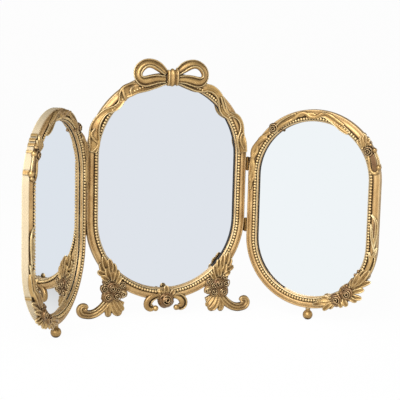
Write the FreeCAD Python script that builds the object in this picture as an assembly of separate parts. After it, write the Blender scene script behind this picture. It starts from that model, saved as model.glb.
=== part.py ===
"""Trifold vanity mirror: one centre panel on scroll feet and two hinged wings.

Units are millimetres. +X is the viewer's right, -Y is towards the viewer and +Z
is up. Everything is built round the middle of the centre panel, with Y = 0 in the
plane that the centre frame's beads reach at the front. Each wing is built on the
right, swung flat, then swung forward to its resting angle and, for the left
wing, mirrored. The finished mirror is then moved so that the origin is on the
ground below the middle of the space that it stands in. Every piece is written to
parts/ as a solid of its own.
"""
import FreeCAD
import Part
import math
import os

Vector = FreeCAD.Vector

# Panels. All three have straight sides of one length between round ends.
straight_side = 86.0
centre_outer_radius = 113.0
centre_rise = 22.5                # ground to the bottom of the centre frame
wing_outer_radius = 94.0
wing_rise = 16.5                  # ground to the bottom of a wing frame

# Moulding section, from its outer edge inwards. Depths count back from the bead plane.
edge_depth = 2.4                  # front arris of the side wall
bevel_width = 0.8
bevel_rise = 1.2
band_width = 9.7                  # plain convex band
band_crown = 0.6                  # how far the band's crown stands in front
band_inner_depth = 0.5
groove_width = 1.05
groove_depth = 2.2
bead_diameter = 3.5
bead_centre_depth = 1.2
bead_seat_depth = 3.0
lip_width = 1.75
lip_depth = 1.9
glass_depth = 4.7                 # front of the glass
glass_thickness = 3.0
board_thickness = 3.0
rebate_wall = 11.0                # outer edge to the rebate
pane_clearance = 0.3              # round the glass and the board

# Retaining clips on the back
clip_length = 14.0
clip_width = 6.0
clip_thickness = 0.8
clip_setback = 5.5                # outer edge to the clip's screw
clip_overhang = 3.6               # clip's centre, inwards of its screw
clip_angles = (30.0, 90.0, 150.0, 210.0, 330.0)

# Screws and studs
screw_radius = 1.0
screw_head_radius = 2.0
screw_head_height = 1.0
clip_screw_grip = 5.0
casting_screw_grip = 4.0          # reach into a casting in front of the bead plane
low_screw_grip = 1.2              # the same for the feet and the apron ornament
leaf_screw_radius = 0.8
leaf_screw_head_radius = 1.4
leaf_screw_sink = 0.8
leaf_screw_length = 7.0
stud_radius = 1.5
stud_grip = 7.0

# Hinges
hinge_gap = 4.4                   # side wall to side wall
hinge_length = 18.0
hinge_heights = {"lower": 125.0, "upper": 211.0}
centre_axis_depth = 3.0           # hinge axis behind the centre panel's bead plane
wing_axis_depth = 4.7             # hinge axis behind a wing's bead plane
leaf_thickness = 1.0
leaf_width = 5.6
leaf_screw_setback = 3.9          # hinge axis to the screws
leaf_screw_spacing = 11.0
knuckle_count = 3
knuckle_radius = 1.8
knuckle_gap = 0.3
pin_radius = 0.8
pin_clearance = 0.05
pin_head_radius = 1.3
pin_head_height = 0.7
seat_margin = 1.0                 # flat seat beyond the ends of a hinge
seat_thickness = 5.0
rest_angle = {"left": 57.0, "right": 42.3}

# Ball foot of a wing
ball_radius = 6.9
ball_flat = 0.1                   # worn off the bottom
ball_neck_radius = 3.2

# Ornament relief. Fronts stand before the bead plane, backs lie behind it.
ribbon_front = 3.2
ribbon_back = 6.5
carving_front = 2.6
carving_back = 4.0
hinge_side_front = 1.8
leaf_front = 3.4
flower_front = 6.0
flower_step = 1.8                 # a flower's heart over its petals
heart_front_share = 0.45          # heart's radii as shares of the flower's
heart_back_share = 0.75
foot_front = 2.4
foot_back = 8.5
ground_flat = 0.8                 # cast foot cut back to sit flat
cut_margin = 2.0                  # how far a cutting solid stands past what it cuts

# Bow crest, measured from the top of the centre frame
knot_half_width = 8.5
knot_height = 20.5
knot_top = 4.2
knot_front = 8.6
knot_back = 5.0
bow_front = 7.0
bow_back = 6.0
bow_outline = [(6, 2.5), (16, 11.5), (30, 19.4), (41, 16.5), (50, 8.5), (53, -2.5),
               (50.5, -12.5), (43, -18), (35, -15.5), (26, -10), (6, -9)]
bow_hole = [(18, 0.5), (26, 5.5), (34, 6.5), (40.5, 3.5), (41.5, -3.5), (34, -3.5), (24, -0.5)]
crest_screw_angle = 16.0          # either side of the top

# Turns of the ribbon's tail down a shoulder: first and last angle, then its ends, its inner
# edge and its outer edge, counted outwards from the outer radius
ribbon_turns = [(86, 60, -6, -15, 0), (66, 34, -4, -9, 3.2), (41, 14, -3.5, -5, 3.5),
                (21, 1, -3.5, -8, 0.5)]

# Edges that follow a round end: angle, inner edge and outer edge from the outer radius
arch_ribbon_stations = [(168, -9, -1.5), (150, -8, 0.2), (131, -12, 3), (115, -9, 3.5),
                        (97, -13, 2), (80, -11, 1.5), (66, -12, 0)]
shoulder_stations = [(46, -9, -1), (38, -12, 1), (30, -14, 1), (20, -12, 2), (11, -9, 3),
                     (5, -6, 0.2)]
spray_stations = [(-16, -9, 0.4), (-30, -14, 1.5), (-45, -16, 2.5), (-60, -15, 3), (-76, -10, 1)]

# Other wing carvings, from the outer or the hinge-side edge and the lower arc centre
side_leaf_tip = (-4.6, 42.0)
side_leaf_base = (-4.4, -14.0)
side_leaf_width = 8.4
hinge_scroll_base = (7.0, 62.0)
hinge_scroll_tip = (7.4, 88.0)
hinge_scroll_width = 5.6
wing_rose_radius = 7.0
wing_rose_angles = (-52.0, -64.0)
wing_rose_setback = 6.0
shoulder_rose_radius = 5.6
shoulder_rose_angle = 29.0
shoulder_rose_setback = 8.2

# Foot of the centre panel, right-hand one
foot_angle = -53.0
foot_reach = 7.0                  # root's centre outside the frame
foot_root_radius = 17.0
foot_screw_angle = 4.0            # either side of foot_angle
arm_root = [(13, -6), (14.5, -15)]            # from the root's centre
arm_top = [(21, 17), (29, 16), (35, 23.5), (44, 23.5), (51, 16.5)]   # z from the ground
arm_sole = [(52.5, 8), (46, 1), (36, -0.8), (25, 2.5), (17, 8), (8, 15), (-1, 24)]
lobe_outline = [(-6, 28), (-10, 20), (-13, 12), (-15.5, 4), (-11, -0.6), (-4, -0.4),
                (1.5, 1.4), (5.5, -0.8), (11.5, 0.4), (13, 9), (9, 20), (5, 28)]
spray_heart_radius = 15.0
spray_flowers = [(2, 7, 7), (12, -8, 6), (-9, -7, 7.5), (-11, 9, 6), (15, 5, 5)]
spray_leaves = [(8, 12, 16, 50, 7), (2, 12, 5, 44, 7), (-4, 12, -3, 36, 7), (10, 14, 24, 27, 8)]

# Apron ornament, measured from the bottom of the centre frame
apron_rose_radius = 9.0
apron_rose_drop = 1.8
apron_leaf_width = 22.0
apron_leaf_height = 22.0
apron_curl = [(6, 9), (17, 7.5), (26, 2), (30.5, -8), (28, -16), (21, -14.5), (15, -16.5),
              (9.5, -12), (13, -7), (13.5, 0)]

# What follows from the sizes above
frame_depth = glass_depth + glass_thickness + board_thickness
moulding_width = band_width + groove_width + bead_diameter + lip_width
hinge_x = centre_outer_radius + hinge_gap / 2


class Panel:
    """Round-ended panel: its outer radius, the height of its foot and its middle."""

    def __init__(self, outer_radius, rise, middle):
        self.outer = outer_radius
        self.middle = middle
        self.low = rise + outer_radius
        self.high = self.low + straight_side

    def polar(self, angle, offset, depth=0.0):
        """Point on the upper (angle >= 0) or lower round end, offset from the outer edge."""
        turn = math.radians(angle)
        centre_z = self.high if 0 <= angle <= 180 else self.low
        reach = self.outer + offset
        return Vector(self.middle + reach * math.cos(turn), depth, centre_z + reach * math.sin(turn))

    def ring(self, section):
        """Sweep a section, given as a face-making function of height, round the panel."""
        high_face = section(self.high)
        low_face = section(self.low)
        upper = high_face.revolve(Vector(self.middle, 0, self.high), Vector(0, -1, 0), 180)
        lower = low_face.revolve(Vector(self.middle, 0, self.low), Vector(0, 1, 0), 180)
        right = low_face.extrude(Vector(0, 0, straight_side))
        left = right.copy()
        left.rotate(Vector(self.middle, 0, (self.low + self.high) / 2), Vector(0, 1, 0), 180)
        return upper.multiFuse([right, lower, left]).removeSplitter()

    def plate(self, radius, front, thickness):
        """Flat round-ended plate that shares the panel's arc centres."""
        top_right = Vector(self.middle + radius, front, self.high)
        top_left = Vector(self.middle - radius, front, self.high)
        low_left = Vector(self.middle - radius, front, self.low)
        low_right = Vector(self.middle + radius, front, self.low)
        top = Vector(self.middle, front, self.high + radius)
        bottom = Vector(self.middle, front, self.low - radius)
        edges = [Part.Arc(top_right, top, top_left).toShape(),
                 Part.LineSegment(top_left, low_left).toShape(),
                 Part.Arc(low_left, bottom, low_right).toShape(),
                 Part.LineSegment(low_right, top_right).toShape()]
        return Part.Face(Part.Wire(edges)).extrude(Vector(0, thickness, 0))


centre = Panel(centre_outer_radius, centre_rise, 0.0)
wing = Panel(wing_outer_radius, wing_rise, hinge_x + hinge_gap / 2 + wing_outer_radius)


def closed_face(points, arcs):
    """Face inside a closed outline; arcs maps a point's index to the crown of the arc after it."""
    edges = []
    for index, start in enumerate(points):
        end = points[(index + 1) % len(points)]
        if index in arcs:
            edges.append(Part.Arc(start, arcs[index], end).toShape())
        else:
            edges.append(Part.LineSegment(start, end).toShape())
    return Part.Face(Part.Wire(edges))


def moulding_section(panel):
    """Frame section of a panel as a function of height."""
    outer = panel.middle + panel.outer
    bead_outer = outer - band_width - groove_width
    bead_inner = bead_outer - bead_diameter

    def section(height):
        outline = [(outer, frame_depth), (outer, edge_depth),
                   (outer - bevel_width, edge_depth - bevel_rise),
                   (outer - band_width, band_inner_depth), (outer - band_width, groove_depth),
                   (bead_outer, groove_depth), (bead_outer, bead_seat_depth),
                   (bead_inner, bead_seat_depth), (bead_inner, lip_depth),
                   (outer - moulding_width, glass_depth), (outer - rebate_wall, glass_depth),
                   (outer - rebate_wall, frame_depth)]
        points = [Vector(x, y, height) for x, y in outline]
        crown = Vector(outer - band_width / 2, -band_crown, height)
        return closed_face(points, {2: crown})

    return section


def bead_section(panel):
    """Section of the beaded trim: a round head on a flat back."""
    bead_outer = panel.middle + panel.outer - band_width - groove_width
    bead_inner = bead_outer - bead_diameter

    def section(height):
        outline = [(bead_outer, bead_seat_depth), (bead_outer, bead_centre_depth),
                   (bead_inner, bead_centre_depth), (bead_inner, bead_seat_depth)]
        points = [Vector(x, y, height) for x, y in outline]
        crown = Vector((bead_outer + bead_inner) / 2, bead_centre_depth - bead_diameter / 2, height)
        return closed_face(points, {1: crown})

    return section


def rod(radius, start, direction, length):
    """Cylinder from a start point along a direction."""
    return Part.makeCylinder(radius, length, start, direction)


def slab(face_wire, front, back):
    """Extrude an outline drawn at depth 0 between two depths."""
    face = Part.Face(face_wire)
    face.translate(Vector(0, front, 0))
    return face.extrude(Vector(0, back - front, 0))


def curve_outline(points):
    """Closed smooth outline through points (x, z)."""
    curve = Part.BSplineCurve()
    curve.interpolate(Points=[Vector(x, 0, z) for x, z in points], PeriodicFlag=True)
    return Part.Wire(curve.toShape())


def banded_outline(panel, stations):
    """Outline that follows a round end between an inner and an outer edge."""
    inner = [panel.polar(angle, near) for angle, near, _ in stations]
    outer = [panel.polar(angle, far) for angle, _, far in stations]
    inner_edge = Part.BSplineCurve()
    inner_edge.interpolate(inner)
    outer_edge = Part.BSplineCurve()
    outer_edge.interpolate(outer)
    edges = [inner_edge.toShape(), Part.LineSegment(inner[-1], outer[-1]).toShape(),
             outer_edge.toShape(), Part.LineSegment(outer[0], inner[0]).toShape()]
    return Part.Wire(Part.__sortEdges__(edges))


def ribbon_turn(panel, first, last, ends, inner, outer):
    """One turn of a twisted ribbon: two arcs between points on the round end."""
    middle = (first + last) / 2
    start = panel.polar(first, ends)
    end = panel.polar(last, ends)
    edges = [Part.Arc(start, panel.polar(middle, outer), end).toShape(),
             Part.Arc(end, panel.polar(middle, inner), start).toShape()]
    return slab(Part.Wire(edges), -ribbon_front, ribbon_back)


def leaf(base, tip, width, front, back):
    """Pointed leaf between two points of the panel's plane."""
    middle = (base + tip) / 2
    along = tip - base
    across = Vector(along.z, 0, -along.x).normalize() * (width / 2)
    edges = [Part.Arc(base, middle + across, tip).toShape(),
             Part.Arc(tip, middle - across, base).toShape()]
    return slab(Part.Wire(edges), front, back)


def flower(middle, radius, front, back):
    """Round flower head: petals with a smaller heart that stands in front of them."""
    backward = Vector(0, 1, 0)
    petals_front = front + flower_step
    petals = rod(radius, middle + Vector(0, petals_front, 0), backward, back - petals_front)
    heart = Part.makeCone(radius * heart_front_share, radius * heart_back_share, flower_step,
                          middle + Vector(0, front, 0), backward)
    return petals.fuse(heart)


def above_ground(shape):
    """Cut a foot off flat at the ground."""
    box = shape.BoundBox
    ground = Part.makeBox(box.XLength + 2 * cut_margin, box.YLength + 2 * cut_margin,
                          ground_flat + cut_margin,
                          Vector(box.XMin - cut_margin, box.YMin - cut_margin,
                                 -ground_flat - cut_margin))
    return shape.cut(ground)


def pan_screw(head_seat, direction, grip):
    """Round-headed screw: its shank runs from the head's seat along direction."""
    head = rod(screw_head_radius, head_seat - direction * screw_head_height, direction,
               screw_head_height)
    shank = rod(screw_radius, head_seat, direction, grip)
    return head.fuse(shank)


def leaf_screw(seat, direction):
    """Countersunk screw whose head ends flush with a hinge leaf's face."""
    head = Part.makeCone(leaf_screw_head_radius, leaf_screw_radius, leaf_screw_sink, seat, direction)
    shank = rod(leaf_screw_radius, seat + direction * leaf_screw_sink, direction,
                leaf_screw_length - leaf_screw_sink)
    return head.fuse(shank)


def clip_stations(panel):
    """Screw point on the back and inward direction of each retaining clip."""
    stations = []
    for angle in clip_angles:
        seat = panel.polar(angle, -clip_setback, frame_depth)
        turn = math.radians(angle)
        stations.append((seat, Vector(-math.cos(turn), 0, -math.sin(turn))))
    middle_height = (panel.low + panel.high) / 2
    for side in (-1, 1):
        seat = Vector(panel.middle + side * (panel.outer - clip_setback), frame_depth, middle_height)
        stations.append((seat, Vector(-side, 0, 0)))
    return stations


def retaining_clips(panel):
    """Flat clips that hold the board, and the screws they turn on."""
    forward = Vector(0, -1, 0)
    clips = []
    screws = []
    for seat, inward in clip_stations(panel):
        plate = Part.makeBox(clip_length, clip_thickness, clip_width,
                             Vector(clip_overhang - clip_length / 2, 0, -clip_width / 2))
        angle = math.degrees(math.atan2(inward.z, inward.x))
        plate.rotate(Vector(0, 0, 0), Vector(0, -1, 0), angle)
        plate.translate(seat)
        screw = pan_screw(seat + Vector(0, clip_thickness, 0), forward,
                          clip_thickness + clip_screw_grip)
        clips.append(plate.cut(screw))
        screws.append(screw)
    return clips, screws


def leaf_screws(height, side):
    """Two screws of one hinge leaf; side is -1 for the fixed leaf and 1 for the wing's."""
    screws = []
    face = hinge_x + side * (hinge_gap / 2 - leaf_thickness)
    for offset in (-leaf_screw_spacing / 2, leaf_screw_spacing / 2):
        seat = Vector(face, centre_axis_depth + leaf_screw_setback, height + offset)
        screws.append(leaf_screw(seat, Vector(side, 0, 0)))
    return screws


def hinge_leaf(height, side):
    """One leaf of a butt hinge, with its knuckles; side as for leaf_screws."""
    third = hinge_length / knuckle_count
    axis = Vector(hinge_x, centre_axis_depth, height)
    wall = side * hinge_gap / 2
    plate_x = min(wall, wall - side * leaf_thickness)
    plate = Part.makeBox(leaf_thickness, leaf_width + knuckle_radius / 2, hinge_length,
                         axis + Vector(plate_x, -knuckle_radius / 2, -hinge_length / 2))
    outer_spans = [(-hinge_length / 2, -third / 2 - knuckle_gap),
                   (third / 2 + knuckle_gap, hinge_length / 2)]
    middle_span = [(-third / 2, third / 2)]
    own, other = (outer_spans, middle_span) if side < 0 else (middle_span, outer_spans)
    clear = knuckle_radius + knuckle_gap
    for low, high in other:
        notch = Part.makeBox(2 * hinge_gap, clear + knuckle_radius, high - low + 2 * knuckle_gap,
                             axis + Vector(-hinge_gap, -clear, low - knuckle_gap))
        plate = plate.cut(notch)
    knuckles = [rod(knuckle_radius, axis + Vector(0, 0, low), Vector(0, 0, 1), high - low)
                for low, high in own]
    leaf_solid = plate.multiFuse(knuckles)
    bore = rod(pin_radius + pin_clearance, axis + Vector(0, 0, -hinge_length), Vector(0, 0, 1),
               2 * hinge_length)
    return leaf_solid.cut(bore).cut(leaf_screws(height, side))


def hinge_pin(height):
    """Headed pin through the three knuckles of a hinge."""
    up = Vector(0, 0, 1)
    foot = Vector(hinge_x, centre_axis_depth, height - hinge_length / 2)
    shank = rod(pin_radius, foot, up, hinge_length)
    lower_head = rod(pin_head_radius, foot - up * pin_head_height, up, pin_head_height)
    upper_head = rod(pin_head_radius, foot + up * hinge_length, up, pin_head_height)
    return shank.multiFuse([lower_head, upper_head])


def hinge_seats(panel, side, front, back):
    """Flat seats for the hinges where a panel's round end falls away from them."""
    wall = hinge_x + side * hinge_gap / 2
    seats = []
    for height in hinge_heights.values():
        corner = Vector(min(wall, wall + side * seat_thickness), front,
                        height - hinge_length / 2 - seat_margin)
        seats.append(Part.makeBox(seat_thickness, back - front, hinge_length + 2 * seat_margin, corner))
    return seats


def wing_shift(shape):
    """Move a wing's piece from the common bead plane to the wing's own one."""
    moved = shape.copy()
    moved.translate(Vector(0, centre_axis_depth - wing_axis_depth, 0))
    return moved


def panel_shell(panel):
    """Frame, trim, glass and board that every panel has, and the space behind the sight."""
    board_radius = panel.outer - rebate_wall - pane_clearance
    frame = panel.ring(moulding_section(panel))
    trim = panel.ring(bead_section(panel))
    glass = panel.plate(board_radius, glass_depth, glass_thickness)
    board = panel.plate(board_radius, glass_depth + glass_thickness, board_thickness)
    rebate = panel.plate(panel.outer - rebate_wall, glass_depth, glass_thickness + board_thickness)
    return frame, trim, glass, board, rebate


def fitted(blank, hosts):
    """Casting cut to every surface that it lies on."""
    for host in hosts:
        blank = blank.cut(host)
    return blank


def foot_root():
    """Middle of the right foot's root, outside the frame's lower round end."""
    return centre.polar(foot_angle, foot_reach)


def foot_scroll():
    """Cast right foot: root, scrolled arm and lobes."""
    root = foot_root()
    boss = rod(foot_root_radius, Vector(root.x, -foot_front, root.z), Vector(0, 1, 0),
               foot_front + foot_back)
    arm_points = [(root.x + x, root.z + z) for x, z in arm_root]
    arm_points += [(root.x + x, z) for x, z in arm_top + arm_sole]
    arm = slab(curve_outline(arm_points), -foot_front, foot_back)
    lobes = slab(curve_outline([(root.x + x, z) for x, z in lobe_outline]), -foot_front, foot_back)
    return above_ground(boss.multiFuse([arm, lobes]))


def foot_spray():
    """Leaves and flowers over the right foot's root."""
    root = foot_root()
    pieces = [rod(spray_heart_radius, root + Vector(0, -leaf_front, 0), Vector(0, 1, 0), leaf_front)]
    for x, z, radius in spray_flowers:
        pieces.append(flower(root + Vector(x, 0, z), radius, -flower_front, carving_back))
    for base_x, base_z, tip_x, tip_z, width in spray_leaves:
        base = root + Vector(base_x, 0, base_z)
        tip = root + Vector(tip_x, 0, tip_z)
        pieces.append(leaf(base, tip, width, -leaf_front, carving_back))
    return pieces[0].multiFuse(pieces[1:])


def bow_crest():
    """Bow with two open loops and a knot."""
    top = centre.high + centre.outer
    loops = []
    for side in (-1, 1):
        outer = curve_outline([(side * x, top + z) for x, z in bow_outline])
        hole = curve_outline([(side * x, top + z) for x, z in bow_hole])
        opening = slab(hole, -bow_front - cut_margin, bow_back + cut_margin)
        loops.append(slab(outer, -bow_front, bow_back).cut(opening))
    knot = Part.makeBox(2 * knot_half_width, knot_front + knot_back, knot_height,
                        Vector(-knot_half_width, -knot_front, top + knot_top - knot_height))
    return knot.multiFuse(loops)


def apron_rose():
    """Rose below the centre frame, between two curls and under a pointed leaf."""
    bottom = centre.low - centre.outer
    middle = Vector(0, 0, bottom - apron_rose_drop)
    pieces = [flower(middle, apron_rose_radius, -flower_front, carving_back),
              leaf(middle, middle + Vector(0, 0, apron_leaf_height + apron_rose_drop),
                   apron_leaf_width, -leaf_front, carving_back)]
    for side in (-1, 1):
        outline = curve_outline([(side * x, bottom + z) for x, z in apron_curl])
        pieces.append(slab(outline, -foot_front, carving_back))
    return pieces[0].multiFuse(pieces[1:])


def mirrored(shape):
    """The same piece on the left."""
    return shape.mirror(Vector(0, 0, 0), Vector(1, 0, 0))


def build_centre():
    """Every piece of the centre panel, by node name."""
    forward = Vector(0, -1, 0)
    frame, trim, glass, board, rebate = panel_shell(centre)
    clips, clip_screws = retaining_clips(centre)
    seats = hinge_seats(centre, -1, edge_depth, frame_depth)
    frame = frame.multiFuse(seats + [mirrored(seat) for seat in seats]).removeSplitter()

    casting_grip = frame_depth + casting_screw_grip
    crest_screws = [pan_screw(centre.polar(90 + side * crest_screw_angle, -clip_setback, frame_depth),
                              forward, casting_grip) for side in (-1, 1)]
    foot_pair = [pan_screw(centre.polar(foot_angle + side * foot_screw_angle, -clip_setback, frame_depth),
                           forward, frame_depth + low_screw_grip) for side in (-1, 1)]
    foot_screws = foot_pair + [mirrored(screw) for screw in foot_pair]
    apron_screw = pan_screw(centre.polar(270, -clip_setback, frame_depth), forward,
                            frame_depth + low_screw_grip)
    hinge_screws = [screw for height in hinge_heights.values() for screw in leaf_screws(height, -1)]
    fasteners = clip_screws + crest_screws + foot_screws + [apron_screw]
    fasteners += hinge_screws + [mirrored(screw) for screw in hinge_screws]
    frame = frame.cut(fasteners)

    shell = [Part.makeCompound(fasteners), frame, trim, rebate]
    turns = [ribbon_turn(centre, *turn) for turn in ribbon_turns]
    ribbon = turns[0].multiFuse(turns[1:])
    right_ribbon = fitted(ribbon, [bow_crest()] + shell)
    right_spray = fitted(foot_spray(), [foot_scroll()] + shell)
    right_foot = fitted(foot_scroll(), shell)
    nodes = {
        "centre_frame": frame,
        "centre_bead_trim": trim,
        "centre_mirror_glass": glass,
        "centre_backing_board": board,
        "centre_retaining_clips": Part.makeCompound(clips),
        "centre_clip_screws": Part.makeCompound(clip_screws),
        "bow_crest": fitted(bow_crest(), shell),
        "crest_screws": Part.makeCompound(crest_screws),
        "foot_screws": Part.makeCompound(foot_screws),
        "apron_rose": fitted(apron_rose(), shell),
        "apron_screw": apron_screw,
        "right_ribbon": right_ribbon,
        "left_ribbon": mirrored(right_ribbon),
        "right_foot_scroll": right_foot,
        "left_foot_scroll": mirrored(right_foot),
        "right_foot_spray": right_spray,
        "left_foot_spray": mirrored(right_spray),
    }
    for level, height in hinge_heights.items():
        leaf_solid = hinge_leaf(height, -1)
        pin = hinge_pin(height)
        nodes["right_%s_hinge_fixed_leaf" % level] = leaf_solid
        nodes["left_%s_hinge_fixed_leaf" % level] = mirrored(leaf_solid)
        nodes["right_%s_hinge_pin" % level] = pin
        nodes["left_%s_hinge_pin" % level] = mirrored(pin)
    nodes["right_fixed_leaf_screws"] = Part.makeCompound(hinge_screws)
    nodes["left_fixed_leaf_screws"] = mirrored(Part.makeCompound(hinge_screws))
    return nodes


def ball_foot(frame, stud):
    """Ball foot with a neck that meets the bottom of the wing's frame."""
    middle = Vector(wing.middle, frame_depth / 2, ball_radius - ball_flat)
    ball = Part.makeSphere(ball_radius, middle)
    neck_height = wing_rise + ball_neck_radius - middle.z
    neck = rod(ball_neck_radius, middle, Vector(0, 0, 1), neck_height)
    return above_ground(ball.fuse(neck)).cut([frame, stud])


def build_wing():
    """Every piece of a right wing that is swung flat, by name without its side."""
    frame, trim, glass, board, rebate = panel_shell(wing)
    clips, clip_screws = retaining_clips(wing)
    frame = frame.multiFuse(hinge_seats(wing, 1, edge_depth, frame_depth)).removeSplitter()
    stud_foot = Vector(wing.middle, frame_depth / 2, ball_radius)
    stud = rod(stud_radius, stud_foot, Vector(0, 0, 1), wing_rise - ball_radius + stud_grip)

    hinge_screws = [screw for height in hinge_heights.values() for screw in leaf_screws(height, 1)]
    to_wing_plane = Vector(0, wing_axis_depth - centre_axis_depth, 0)
    for screw in hinge_screws:
        screw.translate(to_wing_plane)
    fasteners = clip_screws + hinge_screws + [stud]
    frame = frame.cut(fasteners)
    shell = [Part.makeCompound(fasteners), frame, trim, rebate]

    outer_edge = wing.middle + wing.outer
    inner_edge = wing.middle - wing.outer
    side_leaf_ends = [Vector(outer_edge + x, 0, wing.low + z)
                      for x, z in (side_leaf_base, side_leaf_tip)]
    side_leaf = leaf(*side_leaf_ends, side_leaf_width, -carving_front, carving_back)
    hinge_scroll_ends = [Vector(inner_edge + x, 0, wing.low + z)
                         for x, z in (hinge_scroll_base, hinge_scroll_tip)]
    hinge_scroll = leaf(*hinge_scroll_ends, hinge_scroll_width, -hinge_side_front, carving_back)
    arch_ribbon = slab(banded_outline(wing, arch_ribbon_stations), -carving_front, carving_back)
    shoulder = slab(banded_outline(wing, shoulder_stations), -carving_front, carving_back)
    shoulder_rose = flower(wing.polar(shoulder_rose_angle, -shoulder_rose_setback),
                           shoulder_rose_radius, -flower_front, carving_back)
    spray = slab(banded_outline(wing, spray_stations), -leaf_front, carving_back)
    roses = [flower(wing.polar(angle, -wing_rose_setback), wing_rose_radius, -flower_front, carving_back)
             for angle in wing_rose_angles]
    nodes = {
        "wing_frame": frame,
        "wing_bead_trim": trim,
        "wing_mirror_glass": glass,
        "wing_backing_board": board,
        "wing_retaining_clips": Part.makeCompound(clips),
        "wing_clip_screws": Part.makeCompound(clip_screws),
        "ball_foot": ball_foot(frame, stud),
        "ball_foot_stud": stud,
        "hinge_side_scroll": fitted(hinge_scroll, shell),
        "arch_ribbon": fitted(arch_ribbon, shell),
        "shoulder_scroll": fitted(shoulder.fuse(shoulder_rose), shell),
        "side_leaf": fitted(side_leaf, shell),
        "rose_spray": fitted(spray.multiFuse(roses), shell),
        "wing_leaf_screws": Part.makeCompound(hinge_screws),
    }
    nodes = {name: wing_shift(shape) for name, shape in nodes.items()}
    for level, height in hinge_heights.items():
        nodes["%s_hinge_wing_leaf" % level] = hinge_leaf(height, 1)
    return nodes


def swung(shape, side):
    """Put a flat right wing's piece on its side and swing it forward to rest."""
    if side == "left":
        placed = mirrored(shape)
        placed.rotate(Vector(-hinge_x, centre_axis_depth, 0), Vector(0, 0, 1), rest_angle[side])
    else:
        placed = shape.copy()
        placed.rotate(Vector(hinge_x, centre_axis_depth, 0), Vector(0, 0, 1), -rest_angle[side])
    return placed


def standing_shift(shapes):
    """Move in whole millimetres that puts the origin below the middle of the standing mirror."""
    box = Part.makeCompound(shapes).optimalBoundingBox(False)
    return Vector(-round(box.Center.x), -round(box.Center.y), 0)


def main():
    """Build every node and write it to parts/."""
    nodes = build_centre()
    for name, shape in build_wing().items():
        for side in ("left", "right"):
            nodes["%s_%s" % (side, name)] = swung(shape, side)
    shift = standing_shift(list(nodes.values()))
    print("origin moved by", shift)
    os.makedirs("parts", exist_ok=True)
    for name, shape in sorted(nodes.items()):
        shape.translate(shift)
        shape.exportStep("parts/%s.step" % name)
        box = shape.BoundBox
        print("%-34s solids %2d valid %s volume %9.1f  X %7.1f %7.1f  Y %7.1f %6.1f  Z %6.1f %6.1f" % (
            name, len(shape.Solids), shape.isValid(), shape.Volume,
            box.XMin, box.XMax, box.YMin, box.YMax, box.ZMin, box.ZMax))


main()
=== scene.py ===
"""Trifold vanity mirror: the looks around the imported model.

Carvings, beads and panes are modelled on a bench in millimetres, with x to the right,
y up and z towards the viewer, and are then seated on the panel that carries them.
"""

import logging
import math
from dataclasses import dataclass
from enum import Enum
from typing import Callable, Iterable, Sequence

import bpy
from mathutils import Matrix, Vector


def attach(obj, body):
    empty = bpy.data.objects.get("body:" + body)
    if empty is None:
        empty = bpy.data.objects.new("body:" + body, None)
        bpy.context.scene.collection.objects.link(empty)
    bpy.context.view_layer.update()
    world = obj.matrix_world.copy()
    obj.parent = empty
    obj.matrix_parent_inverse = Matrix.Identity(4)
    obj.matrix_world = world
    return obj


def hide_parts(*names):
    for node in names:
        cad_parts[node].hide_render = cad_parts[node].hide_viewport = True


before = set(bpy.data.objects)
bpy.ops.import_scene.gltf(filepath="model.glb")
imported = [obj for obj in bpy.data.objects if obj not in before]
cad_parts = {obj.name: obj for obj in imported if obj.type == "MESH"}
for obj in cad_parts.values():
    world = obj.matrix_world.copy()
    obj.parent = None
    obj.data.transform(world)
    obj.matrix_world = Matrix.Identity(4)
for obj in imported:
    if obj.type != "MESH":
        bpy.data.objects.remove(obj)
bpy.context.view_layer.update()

logging.basicConfig(level=logging.INFO, format="%(message)s")
log = logging.getLogger("trifold_mirror")

MM = 0.001
Piece = bpy.types.Object
Material = bpy.types.Material
Knot = tuple[float, ...]      # x, y, z, width factor, tilt in degrees; the last two may be left out
Path = tuple[Knot, ...]
Spot = tuple[float, ...]      # x, y, z and radius of a ball or flower, then its depth or its turn
LeafSpec = tuple[Knot, Knot, float, float]      # root, tip, width and sway


class Slot(Enum):
    """Material slots of the record; the modelled pieces are handed one, but it is not used."""

    GOLD = "antique_gold"
    AGED = "aged_gold"
    SILVER = "mirror_silver"


class Side(Enum):
    """Sides of the mirror, as the sign of x."""

    LEFT = -1
    RIGHT = 1


# ---------------------------------------------------------------- finishes


def linear(hex_colour: str) -> tuple[float, float, float, float]:
    """Turn an sRGB hex colour to linear.

    Args:
        hex_colour: the colour as "#rrggbb".
    Returns:
        Linear red, green, blue and an alpha of 1.
    """
    parts = [int(hex_colour[i:i + 2], 16) / 255 for i in (1, 3, 5)]
    red, green, blue = (c / 12.92 if c <= 0.04045 else ((c + 0.055) / 1.055) ** 2.4 for c in parts)
    return red, green, blue, 1.0


def add_node(tree: bpy.types.NodeTree, kind: str, settings: dict | None = None,
             links: dict | None = None) -> bpy.types.Node:
    """Add a node with its settings and its links.

    Args:
        tree: node tree that gets the node.
        kind: the node's type name.
        settings: attribute names or input sockets (by index or name, as "in:NAME") and values.
        links: input sockets and the output sockets that feed them.
    Returns:
        The new node.
    """
    node = tree.nodes.new(kind)
    for key, value in (settings or {}).items():
        if isinstance(key, int):
            node.inputs[key].default_value = value
        elif key.startswith("in:"):
            node.inputs[key[3:]].default_value = value
        else:
            setattr(node, key, value)
    for key, source in (links or {}).items():
        tree.links.new(source, node.inputs[key])
    return node


def new_material(name: str) -> tuple[Material, bpy.types.NodeTree, bpy.types.Node]:
    """Make a material with a Principled shader.

    Args:
        name: the material's name.
    Returns:
        The material, its node tree and its shader node.
    """
    material = bpy.data.materials.new(name)
    material.use_nodes = True
    tree = material.node_tree
    return material, tree, tree.nodes["Principled BSDF"]


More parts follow.
